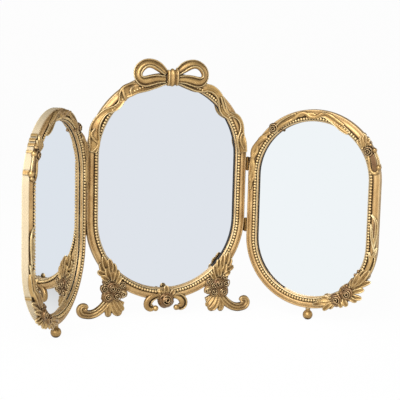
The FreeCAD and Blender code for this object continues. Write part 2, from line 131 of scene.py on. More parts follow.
@dataclass(frozen=True)
class GildedResin:
    """Antique gold paint rubbed over cast resin.

    The paint is thin on the arrises, which show pale, and a brown patina stays in the hollows. A paler tone,
    where the mesh's attribute marks it, is painted sheen.
    """

    name: str
    pale: str
    middle: str
    shade: str
    patina: str
    hollow_mm: float      # reach of the patina out of a hollow
    arris_mm: float       # width of a rubbed arris
    patina_amount: float
    worn: str = "#cabb9e"      # painted sheen: a paler tone for where light shines on the paint, by the mesh's attribute of that name
    roughness: float = 0.33
    metallic: float = 0.60
    rub: float = 0.75             # how much of the pale tone an arris takes
    hollow_dulling: float = 0.35  # added roughness where the patina lies
    worn_dulling: float = 0.3     # added roughness where the painted sheen lies
    skin_mm: float = 0.12         # height of the casting's grain
    skin_strength: float = 0.3

    def make(self) -> Material:
        """Build the material and return it."""
        material, tree, shader = new_material(self.name)
        place = add_node(tree, "ShaderNodeTexCoord").outputs["Object"]
        cloud = add_node(tree, "ShaderNodeTexNoise", {"in:Scale": 55.0, "in:Detail": 4.0}, {"Vector": place})
        grain = add_node(tree, "ShaderNodeTexNoise", {"in:Scale": 620.0, "in:Detail": 3.0}, {"Vector": place})
        hollow = add_node(tree, "ShaderNodeAmbientOcclusion",
                          {"samples": 8, "in:Distance": self.hollow_mm * MM})
        arris = add_node(tree, "ShaderNodeAmbientOcclusion",
                         {"samples": 8, "inside": True, "only_local": True,
                          "in:Distance": self.arris_mm * MM})
        # Cloudy tone of hand-rubbed paint, patches of about 20 mm.
        tone = add_node(tree, "ShaderNodeMapRange",
                        {"in:From Min": 0.35, "in:From Max": 0.65}, {"Value": cloud.outputs["Fac"]})
        fresh = add_node(tree, "ShaderNodeMix", {"data_type": "RGBA", 6: linear(self.shade),
                                                 7: linear(self.middle)}, {0: tone.outputs[0]})
        # Painted sheen: a paler tone wherever the mesh's attribute marks it.
        sheen_mask = add_node(tree, "ShaderNodeAttribute", {"attribute_name": "worn"})
        body = add_node(tree, "ShaderNodeMix", {"data_type": "RGBA", 7: linear(self.worn)},
                        {0: sheen_mask.outputs["Fac"], 6: fresh.outputs[2]})
        rub = add_node(tree, "ShaderNodeMapRange",
                       {"in:From Min": 0.55, "in:From Max": 0.95, "in:To Min": self.rub, "in:To Max": 0.0},
                       {"Value": arris.outputs["AO"]})
        rubbed = add_node(tree, "ShaderNodeMix", {"data_type": "RGBA", 7: linear(self.pale)},
                          {0: rub.outputs[0], 6: body.outputs[2]})
        depth = add_node(tree, "ShaderNodeMapRange",
                         {"in:From Min": 0.40, "in:From Max": 0.93,
                          "in:To Min": self.patina_amount, "in:To Max": 0.0},
                         {"Value": hollow.outputs["AO"]})
        dirt = add_node(tree, "ShaderNodeMix", {"data_type": "RGBA", 7: linear(self.patina)},
                        {0: depth.outputs[0], 6: rubbed.outputs[2]})
        tree.links.new(dirt.outputs[2], shader.inputs["Base Color"])
        dull = add_node(tree, "ShaderNodeMapRange",
                        {"in:To Min": self.roughness,
                         "in:To Max": min(1.0, self.roughness + self.hollow_dulling)},
                        {"Value": depth.outputs[0]})
        matt = add_node(tree, "ShaderNodeMath", {"operation": "MULTIPLY_ADD", 1: self.worn_dulling},
                        {0: sheen_mask.outputs["Fac"], 2: dull.outputs[0]})
        tree.links.new(matt.outputs[0], shader.inputs["Roughness"])
        # Fine skin of the casting, in grains of 1.6 mm.
        bump = add_node(tree, "ShaderNodeBump",
                        {"in:Strength": self.skin_strength, "in:Distance": self.skin_mm * MM},
                        {"Height": grain.outputs["Fac"]})
        tree.links.new(bump.outputs[0], shader.inputs["Normal"])
        shader.inputs["Metallic"].default_value = self.metallic
        return material


@dataclass(frozen=True)
class SilveredGlass:
    """Float glass silvered at the back: a clean mirror with a faint cool tint."""

    name: str = "silvered float glass"
    tint: str = "#eff4f7"

    def make(self) -> Material:
        """Build the material and return it."""
        material, tree, shader = new_material(self.name)
        place = add_node(tree, "ShaderNodeTexCoord").outputs["Object"]
        haze = add_node(tree, "ShaderNodeTexNoise", {"in:Scale": 9.0, "in:Detail": 1.0}, {"Vector": place})
        rough = add_node(tree, "ShaderNodeMapRange", {"in:To Min": 0.0, "in:To Max": 0.012},
                         {"Value": haze.outputs["Fac"]})
        tree.links.new(rough.outputs[0], shader.inputs["Roughness"])
        shader.inputs["Base Color"].default_value = linear(self.tint)
        shader.inputs["Metallic"].default_value = 1.0
        return material


@dataclass(frozen=True)
class PlainFinish:
    """A finish with a fine speckle and a bump, for backs, rims and fasteners."""

    name: str
    light: str
    dark: str
    grain_mm: float
    bump_mm: float
    roughness: float
    metallic: float = 0.0

    def make(self) -> Material:
        """Build the material and return it."""
        material, tree, shader = new_material(self.name)
        place = add_node(tree, "ShaderNodeTexCoord").outputs["Object"]
        grain = add_node(tree, "ShaderNodeTexNoise",
                         {"in:Scale": 1 / (self.grain_mm * MM), "in:Detail": 4.0}, {"Vector": place})
        spread = add_node(tree, "ShaderNodeMapRange", {"in:From Min": 0.3, "in:From Max": 0.7},
                          {"Value": grain.outputs["Fac"]})
        mix = add_node(tree, "ShaderNodeMix", {"data_type": "RGBA", 6: linear(self.dark),
                                               7: linear(self.light)}, {0: spread.outputs[0]})
        tree.links.new(mix.outputs[2], shader.inputs["Base Color"])
        bump = add_node(tree, "ShaderNodeBump", {"in:Distance": self.bump_mm * MM},
                        {"Height": grain.outputs["Fac"]})
        tree.links.new(bump.outputs[0], shader.inputs["Normal"])
        shader.inputs["Roughness"].default_value = self.roughness
        shader.inputs["Metallic"].default_value = self.metallic
        return material


@dataclass(frozen=True)
class StudioPaper:
    """White studio paper: it shows white and keeps a soft shadow."""

    name: str = "studio paper"
    shade_kept: float = 0.03
    flag_from: float = -0.06      # metres behind the middle
    flag_to: float = 0.5
    flagged_glow: float = 0.12
    grey: float = 0.9

    def make(self) -> Material:
        """Build the material and return it."""
        material, tree, shader = new_material(self.name)
        shader.inputs["Base Color"].default_value = (self.grey, self.grey, self.grey, 1)
        shader.inputs["Roughness"].default_value = 1.0
        shader.inputs["Specular IOR Level"].default_value = 0.0
        rays = add_node(tree, "ShaderNodeLightPath").outputs
        seen = add_node(tree, "ShaderNodeMath", {"operation": "MAXIMUM"},
                        {0: rays["Is Camera Ray"], 1: rays["Is Glossy Ray"]})
        kept = add_node(tree, "ShaderNodeMapRange", {"in:To Min": 1.0, "in:To Max": 1.0 - self.shade_kept},
                        {"Value": rays["Is Camera Ray"]})
        share = add_node(tree, "ShaderNodeMath", {"operation": "MULTIPLY"},
                         {0: seen.outputs[0], 1: kept.outputs[0]})
        # Behind the object the paper is flagged off, so the gilding's edges turn dark.
        place = add_node(tree, "ShaderNodeTexCoord").outputs["Object"]
        depth = add_node(tree, "ShaderNodeSeparateXYZ", None, {0: place})
        flagged = add_node(tree, "ShaderNodeMapRange",
                           {"in:From Min": self.flag_from, "in:From Max": self.flag_to,
                            "in:To Min": 1.0, "in:To Max": self.flagged_glow},
                           {"Value": depth.outputs["Y"]})
        level = add_node(tree, "ShaderNodeMath", {"operation": "MAXIMUM"},
                         {0: rays["Is Camera Ray"], 1: flagged.outputs[0]})
        glow = add_node(tree, "ShaderNodeEmission", None, {"Strength": level.outputs[0]})
        mix = add_node(tree, "ShaderNodeMixShader", None,
                       {0: share.outputs[0], 1: shader.outputs[0], 2: glow.outputs[0]})
        tree.links.new(mix.outputs[0], tree.nodes["Material Output"].inputs["Surface"])
        return material


@dataclass(frozen=True)
class StudioCard:
    """Matt card that darkens what the gilding reflects."""

    name: str = "dark studio card"
    colour: str = "#2e2620"

    def make(self) -> Material:
        """Build the material and return it."""
        material, tree, shader = new_material(self.name)
        shader.inputs["Base Color"].default_value = linear(self.colour)
        shader.inputs["Roughness"].default_value = 1.0
        shader.inputs["Specular IOR Level"].default_value = 0.0
        # White for the eye, so that it never shows behind the mirror.
        rays = add_node(tree, "ShaderNodeLightPath").outputs
        glow = add_node(tree, "ShaderNodeEmission")
        mix = add_node(tree, "ShaderNodeMixShader", None,
                       {0: rays["Is Camera Ray"], 1: shader.outputs[0], 2: glow.outputs[0]})
        tree.links.new(mix.outputs[0], tree.nodes["Material Output"].inputs["Surface"])
        return material


class Palette:
    """Every finish of the mirror."""

    def __init__(self) -> None:
        """Make the materials."""
        self.gold = GildedResin("antique gold resin", "#eedcac", "#be9b61", "#997747", "#2b190a",
                                4.8, 1.5, 0.98, roughness=0.37).make()
        self.moulding = GildedResin("antique gold moulding", "#e6d4aa", "#c8a56f", "#ad8957", "#33200d",
                                    2.6, 1.6, 0.9, roughness=0.46).make()
        # The beads take a paler copy of the gold: painted highlight on their round tops.
        self.beads = GildedResin("antique gold beads, painted highlight", "#f4e2b8", "#e0c28a", "#c8a468", "#38230f",
                                 2.8, 1.2, 0.92, roughness=0.40).make()
        # A darker gold for the flowers and the hollow strips.
        self.aged = GildedResin("darker gold resin", "#e0c390", "#8f6e45", "#6e5033", "#24150a",
                                3.4, 1.1, 0.92).make()
        self.turned = GildedResin("antique gold turnery", "#e6d4aa", "#ab8850", "#8a6b3f", "#2b190a",
                                  4.6, 1.5, 0.98, roughness=0.37).make()
        # The centre's cooler tint and the left wing's lighter one are painted reflection, for the dimmer and
        # brighter surroundings those panes show.
        self.panes = {"right_wing": SilveredGlass().make(),
                      "centre": SilveredGlass("silvered float glass, cooler", "#dfe4eb").make(),
                      "left_wing": SilveredGlass("silvered float glass, lighter", "#fcfeff").make()}
        # The dark edge of the glass with the rebate's shadow line painted on it, and a gold copy for where
        # light falls on the edge at the bottom.
        self.edge = PlainFinish("glass edge, painted shadow", "#191511", "#0d0b09", 2.0, 0.02, 0.9).make()
        self.lit_edge = PlainFinish("glass edge, painted lit gold", "#b99a66", "#a38452", 3.0, 0.02, 0.5, 0.3).make()
        self.board = PlainFinish("brown hardboard", "#6b4b31", "#4c3421", 1.5, 0.05, 0.8).make()
        self.steel = PlainFinish("zinc plated steel", "#c9cac8", "#a9aaa8", 3.0, 0.01, 0.35, 1.0).make()
        self.brass = PlainFinish("aged brass", "#8a6a3a", "#5c4424", 1.5, 0.02, 0.42, 0.9).make()
        self.paper = StudioPaper().make()
        self.card = StudioCard().make()


# ---------------------------------------------------------------- seats


@dataclass(frozen=True)
class Seat:
    """A panel that carries pieces: its body and the way from the bench to it."""

    body: str
    matrix: Matrix

    def settle(self, piece: Piece) -> None:
        """Move a bench piece onto the panel and make it ride there.

        Args:
            piece: a mesh object modelled on the bench.
        """
        piece.data.transform(self.matrix)
        if self.matrix.is_negative:
            turn_out(piece)
        piece.data.update()
        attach(piece, self.body)


BENCH_TO_PANEL = Matrix(((MM, 0, 0, 0), (0, 0, -MM, 0), (0, MM, 0, 0), (0, 0, 0, 1)))
PANEL_ORIGIN = Matrix.Translation((-18.0 * MM, 75.0 * MM, 0))     # foot of the centre panel in the frame
HINGE_X = 115.2               # hinge axis, to the side of the centre panel's middle
HINGE_DEPTH = 3.0             # hinge axis, behind the bead plane
WING_SETBACK = 1.7            # how far a flat wing's bead plane stands before the centre panel's
WING_ANGLES = {Side.LEFT: 57.0, Side.RIGHT: 42.3}


def wing_seat(side: Side) -> Seat:
    """Seat of a wing at its resting angle.

    Args:
        side: which wing.
    Returns:
        The wing's seat; the left one mirrors the bench.
    """
    axis = Vector((HINGE_X * MM, HINGE_DEPTH * MM, 0))
    swing = Matrix.Rotation(-math.radians(WING_ANGLES[side]), 4, "Z")
    flat = Matrix.Translation((0, -WING_SETBACK * MM, 0)) @ BENCH_TO_PANEL
    placed = Matrix.Translation(axis) @ swing @ Matrix.Translation(-axis) @ flat
    mirror = Matrix.Diagonal((side.value, 1, 1, 1))
    return Seat(side.name.lower() + "_wing", PANEL_ORIGIN @ mirror @ placed)


def centre_seat(side: Side = Side.RIGHT) -> Seat:
    """Seat of the centre panel; the left one mirrors the bench."""
    mirror = Matrix.Diagonal((side.value, 1, 1, 1))
    return Seat("centre_panel", PANEL_ORIGIN @ mirror @ BENCH_TO_PANEL)


# ---------------------------------------------------------------- bench work


def pick(*objects: Piece) -> None:
    """Select these objects alone, the first one active.

    Args:
        objects: the objects.
    """
    bpy.ops.object.select_all(action="DESELECT")
    for item in objects:
        item.select_set(True)
    bpy.context.view_layer.objects.active = objects[0]


def turn_out(piece: Piece) -> None:
    """Make a closed mesh's faces point outwards.

    Args:
        piece: the mesh object.
    """
    pick(piece)
    bpy.ops.object.mode_set(mode="EDIT")
    bpy.ops.mesh.select_all(action="SELECT")
    bpy.ops.mesh.normals_make_consistent(inside=False)
    bpy.ops.object.mode_set(mode="OBJECT")


def draw(knots: Sequence[Knot], closed: bool = False, steps: int = 8,
         sharp: bool = False) -> Piece:
    """Draw a curve through knots.

    Args:
        knots: x, y and z, and a width factor and a tilt in degrees where they matter.
        closed: whether it comes back to its start.
        steps: points from one knot to the next.
        sharp: whether it turns at its knots instead of flowing through them.
    Returns:
        The curve object.
    """
    bpy.ops.object.select_all(action="DESELECT")
    bpy.ops.curve.primitive_bezier_curve_add()
    curve = bpy.context.object
    spline = curve.data.splines[0]
    spline.bezier_points.add(len(knots) - 2)
    for point, knot in zip(spline.bezier_points, knots):
        # What a knot leaves out is taken from the defaults for z, width factor and tilt.
        x, y, z, width, tilt = (*knot, *(0.0, 1.0, 0.0)[len(knot) - 2:])
        point.co = (x, y, z)
        point.radius = width
        point.tilt = math.radians(tilt)
        point.handle_left_type = point.handle_right_type = "VECTOR" if sharp else "AUTO"
    spline.use_cyclic_u = closed
    spline.tilt_interpolation = "BSPLINE"
    spline.radius_interpolation = "BSPLINE"
    spline.resolution_u = steps
    curve.data.resolution_u = steps
    curve.data.twist_mode = "Z_UP"
    return curve


class Profile:
    """Cross-section that is drawn once and swept along many paths."""

    def __init__(self, outline: Sequence[tuple[float, float]], steps: int = 3, sharp: bool = False) -> None:
        """Draw the section.

        Args:
            outline: points across (x) and up towards the viewer (y), in mm.
            steps: points from one knot to the next.
            sharp: whether its corners are kept.
        """
        self.curve = draw([(x, y, 0) for x, y in outline], True, steps, sharp)
        self.curve.data.dimensions = "2D"
        self.curve.data.fill_mode = "NONE"

    def sweep(self, path: Sequence[Knot], closed: bool = False, steps: int = 8) -> Piece:
        """Sweep the section along a path.

        Args:
            path: knots of the path.
            closed: whether the path comes back to its start.
            steps: points from one knot to the next.
        Returns:
            A closed mesh.
        """
        curve = draw(path, closed, steps)
        curve.data.bevel_mode = "OBJECT"
        curve.data.bevel_object = self.curve
        curve.data.use_fill_caps = not closed
        pick(curve)
        bpy.ops.object.convert(target="MESH")
        return bpy.context.object


def ball(x: float, y: float, z: float, radius: float, flat: float = 1.0) -> Piece:
    """A ball, or a flattened one.

    Args:
        x, y, z: its middle.
        radius: its radius.
        flat: its depth as a share of its width.
    Returns:
        The ball.
    """
    bpy.ops.object.select_all(action="DESELECT")
    bpy.ops.mesh.primitive_ico_sphere_add(subdivisions=3, radius=radius, location=(x, y, z),
                                          scale=(1, 1, flat))
    bpy.ops.object.transform_apply(location=True, rotation=True, scale=True)
    return bpy.context.object


def sweep_once(outline: Sequence[tuple[float, float]], path: Sequence[Knot], closed: bool = False,
               steps: int = 8) -> Piece:
    """Sweep a sharp-cornered section that is needed only this once.

    Args:
        outline: points of the section.
        path: knots of the path.
        closed: whether the path comes back to its start.
        steps: points from one knot to the next.
    Returns:
        A closed mesh.
    """
    section = Profile(outline, 1, True)
    piece = section.sweep(path, closed, steps)
    bpy.data.objects.remove(section.curve)
    return piece


def smooth(piece: Piece, crease: float) -> None:
    """Shade a piece smooth, but for its creases.

    Args:
        piece: the mesh object.
        crease: angle in degrees above which an edge stays sharp.
    """
    pick(piece)
    bpy.ops.object.shade_smooth_by_angle(angle=math.radians(crease))


def joined(parts: Iterable[Piece]) -> Piece:
    """Join parts into the first one.

    Args:
        parts: mesh objects.
    Returns:
        The joined object.
    """
    parts = list(parts)
    pick(*parts)
    if len(parts) > 1:
        bpy.ops.object.join()
    return bpy.context.object


def apply(piece: Piece, kind: str, **settings: object) -> None:
    """Add a modifier with its settings and apply it.

    Args:
        piece: the mesh object.
        kind: the modifier's type.
        settings: the modifier's settings.
    """
    pick(piece)
    modifier = piece.modifiers.new(kind.lower(), kind)
    for key, value in settings.items():
        setattr(modifier, key, value)
    bpy.ops.object.modifier_apply(modifier=modifier.name)


def cast(parts: Iterable[Piece], grain: float = 0.5, soften: int = 2,
         keep: float = 0.5) -> Piece:
    """Cast joined parts as one piece with soft creases.

    Args:
        parts: closed meshes that overlap.
        grain: edge of the casting's voxels in mm.
        soften: rounds of smoothing.
        keep: share of the faces that stay.
    Returns:
        The casting.
    """
    piece = joined(parts)
    apply(piece, "REMESH", mode="VOXEL", voxel_size=grain)
    apply(piece, "SMOOTH", factor=0.5, iterations=soften)
    if keep < 1:
        apply(piece, "DECIMATE", ratio=keep)
    pick(piece)
    bpy.ops.object.shade_smooth()
    return piece


def twin(piece: Piece) -> Piece:
    """Copy a bench piece with its own mesh.

    Args:
        piece: the bench piece.
    Returns:
        The copy.
    """
    pick(piece)
    bpy.ops.object.duplicate()
    return bpy.context.object


def finish_piece(piece: Piece, name: str, seat: Seat, material: Material,
                 slot: Slot, *replaced: str) -> Piece:
    """Name, dress and seat a piece.

    Args:
        piece: bench piece.
        name: its name.
        seat: panel that carries it.
        material: its finish.
        slot: its record slot; not used.
        replaced: CAD nodes that it stands for.
    Returns:
        The piece.
    """
    piece.name = name
    piece.data.name = name
    piece.data.materials.clear()
    piece.data.materials.append(material)
    seat.settle(piece)
    if replaced:
        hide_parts(*replaced)
    log.info("%s: %d faces on %s", name, len(piece.data.polygons), seat.body)
    return piece


def facing(left: Sequence[Knot], right: Sequence[Knot], width: float) -> list[Knot]:
    """Path of a band between its left and its right rim, as seen along the way.

    Args:
        left: x, y, z of the left rim.
        right: x, y, z of the right rim, as many points.
        width: width of the section that will be swept.
    Returns:
        Knots at the band's middle, with width and tilt that put its edges on the rims.
    """
    backs = [Vector(p) for p in left]
    fronts = [Vector(p) for p in right]
    middles = [(a + b) / 2 for a, b in zip(backs, fronts)]
    knots: list[Knot] = []
    last = 0.0
    for index, middle in enumerate(middles):
        ahead = middles[min(index + 1, len(middles) - 1)] - middles[max(index - 1, 0)]
        along = ahead.normalized()
        side = along.cross(Vector((0, 0, 1))).normalized()
        up = side.cross(along)
        across = fronts[index] - backs[index]
        across -= along * across.dot(along)
        tilt = math.degrees(math.atan2(-across.dot(up), across.dot(side)))
        tilt += 360 * round((last - tilt) / 360)
        last = tilt
        knots.append((*middle, across.length / width, tilt))
    return knots


class Profiles:
    """Cross-sections of the carvings."""

    def __init__(self) -> None:
        """Draw them."""
        self.ribbon = Profile([(-6, -2.6), (-6.3, 0.0), (-5.6, 1.6), (-4.2, 0.9), (-2.6, -0.8), (0.2, -1.0),
                               (2.8, -0.4), (4.2, 0.9), (5.4, 1.6), (6.3, 0.0), (6, -2.6), (0, -3.4)])
        self.band = Profile(
            [(-6, -3.2), (-6.7, 0.1), (-5.9, 1.7), (-4.9, 1.2), (-4.1, -0.3), (-3.2, 1.0), (-1.4, 2.1),
             (0.8, 1.8), (2.6, 0.8), (3.6, -0.6), (4.6, 1.0), (5.8, 1.9), (6.7, 0.1), (6, -3.2), (0, -4.8)])
        self.block = Profile([(-4.6, -5.0), (-4.8, 0.4), (4.8, 0.4), (4.6, -5.0)], 1, True)
        self.fluted = Profile(
            [(-5, -7.3), (-5.6, -1), (-4.8, 1.0), (-3.8, 0.8), (-3.0, -0.6), (-2.1, 0.8), (-0.8, 1.6),
             (0.4, 1.4), (1.3, 0.1), (2.2, 1.4), (3.6, 1.6), (4.8, 0.8), (5.6, -0.8), (5, -7.3)], 2)
        self.lobe = Profile(
            [(-5, -6.5), (-5.5, -0.8), (-4.2, 1.3), (-2.4, 1.5), (-0.9, 0.0), (0.9, 0.0), (2.4, 1.5),
             (4.2, 1.3), (5.5, -0.8), (5, -6.5)])
        self.frond = Profile(
            [(-5, -3.6), (-5.5, -0.6), (-4.5, 1.5), (-3.3, 1.2), (-2.0, -1.3), (-0.6, 1.1), (2.4, 1.8),
             (4.6, 1.2), (5.5, -0.6), (5, -3.6)])
        self.leaf = Profile([(-3.4, -1.8), (-3.7, 0.2), (-2.6, 1.4), (-1.1, 0.6), (0, -0.5), (1.1, 0.6),
                             (2.6, 1.4), (3.7, 0.2), (3.4, -1.8), (0, -2.4)], 2)
        self.strand = Profile([(-2, -1.2), (-2, 0.5), (-0.9, 1.3), (0.9, 1.3), (2, 0.5), (2, -1.2)], 2)
        self.knot = Profile(
            [(-7.2, -3), (-7.6, -0.2), (-6.2, 1.6), (-4.4, 0.2), (-3.0, -0.9), (-1.2, 1.6), (1.4, 2.2),
             (3.4, 0.6), (4.4, 0.0), (6, 1.8), (7.6, -0.2), (7.2, -3)])
        self.everything = [self.ribbon, self.band, self.block, self.fluted, self.lobe, self.frond, self.leaf,
                           self.strand, self.knot]

    def clear(self) -> None:
        """Take the drawn sections off the bench."""
        for profile in self.everything:
            bpy.data.objects.remove(profile.curve)


# ---------------------------------------------------------------- panels


@dataclass(frozen=True)
class Panel:
    """Round-ended panel: where its beads and its glass lie, in mm on the bench."""

    middle: float         # x of its middle
    low: float            # y of the lower arc's centre
    outer: float          # outer radius
    bead_count: int
    straight: float = 86.0
    bead_setback: float = 11.8
    sight_setback: float = 16.0
    rebate_setback: float = 11.3

    def polar(self, angle: float, offset: float, z: float = 0.0) -> tuple[float, float, float]:
        """Point on the upper round end, or the lower one for a negative angle.

        Args:
            angle: degrees from the right.
            offset: distance outwards from the outer edge.
            z: height towards the viewer.
        Returns:
            The point.
        """
        turn = math.radians(angle)
        base = self.low + (self.straight if angle >= 0 else 0)
        reach = self.outer + offset
        return self.middle + reach * math.cos(turn), base + reach * math.sin(turn), z

    def along(self, distance: float, setback: float) -> tuple[float, float]:
        """Point on the round-ended track that lies a setback inside the outer edge.

        Args:
            distance: way along the track, from the lower right corner up.
            setback: distance inside the outer edge.
        Returns:
            x and y.
        """
        radius = self.outer - setback
        arc = math.pi * radius
        distance %= 2 * (arc + self.straight)
        turned = distance >= arc + self.straight
        distance -= (arc + self.straight) if turned else 0
        if distance < self.straight:
            x, y = radius, distance - self.straight / 2
        else:
            angle = (distance - self.straight) / radius
            x, y = radius * math.cos(angle), self.straight / 2 + radius * math.sin(angle)
        sign = -1 if turned else 1
        return self.middle + sign * x, self.low + self.straight / 2 + sign * y

    def setback(self, x: float, y: float) -> float:
        """Distance of a point inside the outer edge.

        Args:
            x, y: the point.
        Returns:
            The distance.
        """
        past = max(self.low - y, 0.0, y - self.low - self.straight)
        return self.outer - math.hypot(x - self.middle, past)

    def length(self, setback: float) -> float:
        """Length of the track at a setback."""
        return 2 * (math.pi * (self.outer - setback) + self.straight)

    def track(self, setback: float, z: float, count: int = 48) -> list[Knot]:
        """Knots all along the track at a setback."""
        length = self.length(setback)
        return [(*self.along(length * i / count, setback), z) for i in range(count)]


RING_KNOTS = 96               # knots of a finely swept ring
CENTRE = Panel(middle=0.0, low=135.5, outer=113.0, bead_count=204)
WING = Panel(middle=211.4, low=110.5, outer=94.0, bead_count=174)


@dataclass
class FrameMoulding:
    """Cast frame of a panel: its full section swept all round."""

    panel: Panel
    worn_amount: float            # strength of the painted sheen on the rim
    # Setback from the outer edge and z, from the back of the side wall round to the rebate.
    section: tuple[tuple[float, float], ...] = (
        (0.05, -10.7), (0.05, -3.6), (0.15, -2.8), (0.6, -2.05), (1.3, -1.7), (2.0, -1.75), (2.4, -1.9),
        (2.9, -1.65), (3.6, -0.9), (4.6, -0.2), (5.8, 0.25), (7.0, 0.4), (8.1, 0.15), (8.9, -0.5),
        (9.4, -1.3), (9.9, -2.4), (13.8, -2.4), (13.85, -1.3), (14.3, -0.9), (15.0, -1.1), (15.6, -1.9),
        (16.0, -3.1), (16.0, -4.72), (11.3, -4.72), (11.3, -10.7))
    worn_reach: float = 1.7       # how far the painted sheen on the rim reaches inwards
    track_setback: float = 12.0   # line that the section is swept along
    crease: float = 38.0

    def build(self, prefix: str, seat: Seat, material: Material) -> None:
        """Sweep the frame and seat it.

        Args:
            prefix: panel's name.
            seat: panel that carries it.
            material: its finish.
        """
        # The track runs anticlockwise, so the section's x points outwards.
        ring = sweep_once([(self.track_setback - setback, z) for setback, z in self.section],
                          self.panel.track(self.track_setback, 0.0, RING_KNOTS), True, 3)
        smooth(ring, self.crease)
        # Painted sheen on the outer rim, fading inwards.
        worn = ring.data.attributes.new("worn", "FLOAT", "POINT")
        for vertex, mark in zip(ring.data.vertices, worn.data):
            inwards = self.panel.setback(vertex.co.x, vertex.co.y) / self.worn_reach
            mark.value = self.worn_amount * max(0.0, 1.0 - inwards)
        finish_piece(ring, prefix + "_moulding", seat, material, Slot.GOLD, prefix + "_frame")


@dataclass
class BeadTrim:
    """String of round beads in its groove round the glass."""

    panel: Panel
    bead_radius: float = 1.98
    depth: float = 0.0            # of the beads' centres behind the bead plane
    string_half_width: float = 1.2
    string_depth: float = 2.3
    crease: float = 50.0

    def build(self, prefix: str, seat: Seat, material: Material) -> None:
        """Model the beads on one string and seat them.

        Args:
            prefix: panel's name.
            seat: panel that carries them.
            material: their finish.
        """
        w = self.string_half_width
        string = sweep_once([(-w, -0.5), (-w, 0.3), (w, 0.3), (w, -0.5)],
                            self.panel.track(self.panel.bead_setback, -self.string_depth), True, 3)
        bpy.ops.object.select_all(action="DESELECT")
        bpy.ops.mesh.primitive_ico_sphere_add(subdivisions=2, radius=self.bead_radius)
        first = bpy.context.object
        pitch = self.panel.length(self.panel.bead_setback) / self.panel.bead_count
        parts = [string]
        for index in range(self.panel.bead_count):
            x, y = self.panel.along(index * pitch, self.panel.bead_setback)
            bead = first.copy()
            bead.data = first.data.copy()
            bead.data.transform(Matrix.Translation((x, y, -self.depth)))
            bpy.context.collection.objects.link(bead)
            parts.append(bead)
        bpy.data.objects.remove(first)
        trim = joined(parts)
        smooth(trim, self.crease)
        finish_piece(trim, prefix + "_beads", seat, material, Slot.GOLD, prefix + "_bead_trim")


@dataclass
class MirrorPane:
    """Silvered pane behind the sight edge, with the dark edge of its glass, which carries painted shadow from
    the lip and painted light at the bottom.
    """

    panel: Panel
    shadow_depth: float           # where the shadow line under the lip starts
    silver_depth: float           # where the silver seems to lie through the glass
    back_depth: float = 7.6
    edge_half_width: float = 0.2
    edge_overlap: float = 0.06    # how far the edge stands out of the lip's wall
    lit_below: float = 70.0       # under the lower arc's centre, where the edge takes painted light from above instead of painted shadow
    crease: float = 30.0

    def plate(self, radius: float, front: float, back: float) -> Piece:
        """Round-ended plate.

        Args:
            radius: half its width.
            front: depth of its face behind the bead plane.
            back: depth of its back.
        Returns:
            The plate.
        """
        bpy.ops.object.select_all(action="DESELECT")
        bpy.ops.mesh.primitive_cylinder_add(vertices=192, radius=radius, depth=back - front,
                                            location=(self.panel.middle, self.panel.low,
                                                      -(front + back) / 2))
        plate = bpy.context.object
        bpy.ops.object.transform_apply(location=True, rotation=True, scale=True)
        for vertex in plate.data.vertices:
            if vertex.co.y > self.panel.low + 0.01:
                vertex.co.y += self.panel.straight
        return plate

    def build(self, prefix: str, seat: Seat, palette: Palette) -> None:
        """Model the pane and the ring of its edge and seat both. The ring is painted shadow from the lip, and
        gold at the bottom as painted light.

        Args:
            prefix: panel's name.
            seat: panel that carries them.
            palette: the finishes.
        """
        node = prefix + "_mirror_glass"
        pane = self.plate(self.panel.outer - self.panel.rebate_setback, self.silver_depth, self.back_depth)
        smooth(pane, self.crease)
        finish_piece(pane, prefix + "_silvered_pane", seat, palette.panes[prefix], Slot.SILVER, node)
        w = self.edge_half_width
        height = self.silver_depth - self.shadow_depth
        setback = self.panel.sight_setback - w + self.edge_overlap
        track = self.panel.track(setback, -self.silver_depth, RING_KNOTS)
        ring = sweep_once([(-w, 0), (-w, height), (w, height), (w, 0)], track, True, 2)
        smooth(ring, self.crease)
        # Painted light: faces low on the lower arc take the lit gold, the rest the painted shadow.
        lit = [index for index, face in enumerate(ring.data.polygons)
               if face.center.y < self.panel.low - self.lit_below]
        finish_piece(ring, prefix + "_glass_edge", seat, palette.edge, Slot.SILVER, node)
        ring.data.materials.append(palette.lit_edge)
        for index in lit:
            ring.data.polygons[index].material_index = 1


# ---------------------------------------------------------------- flowers and leaves


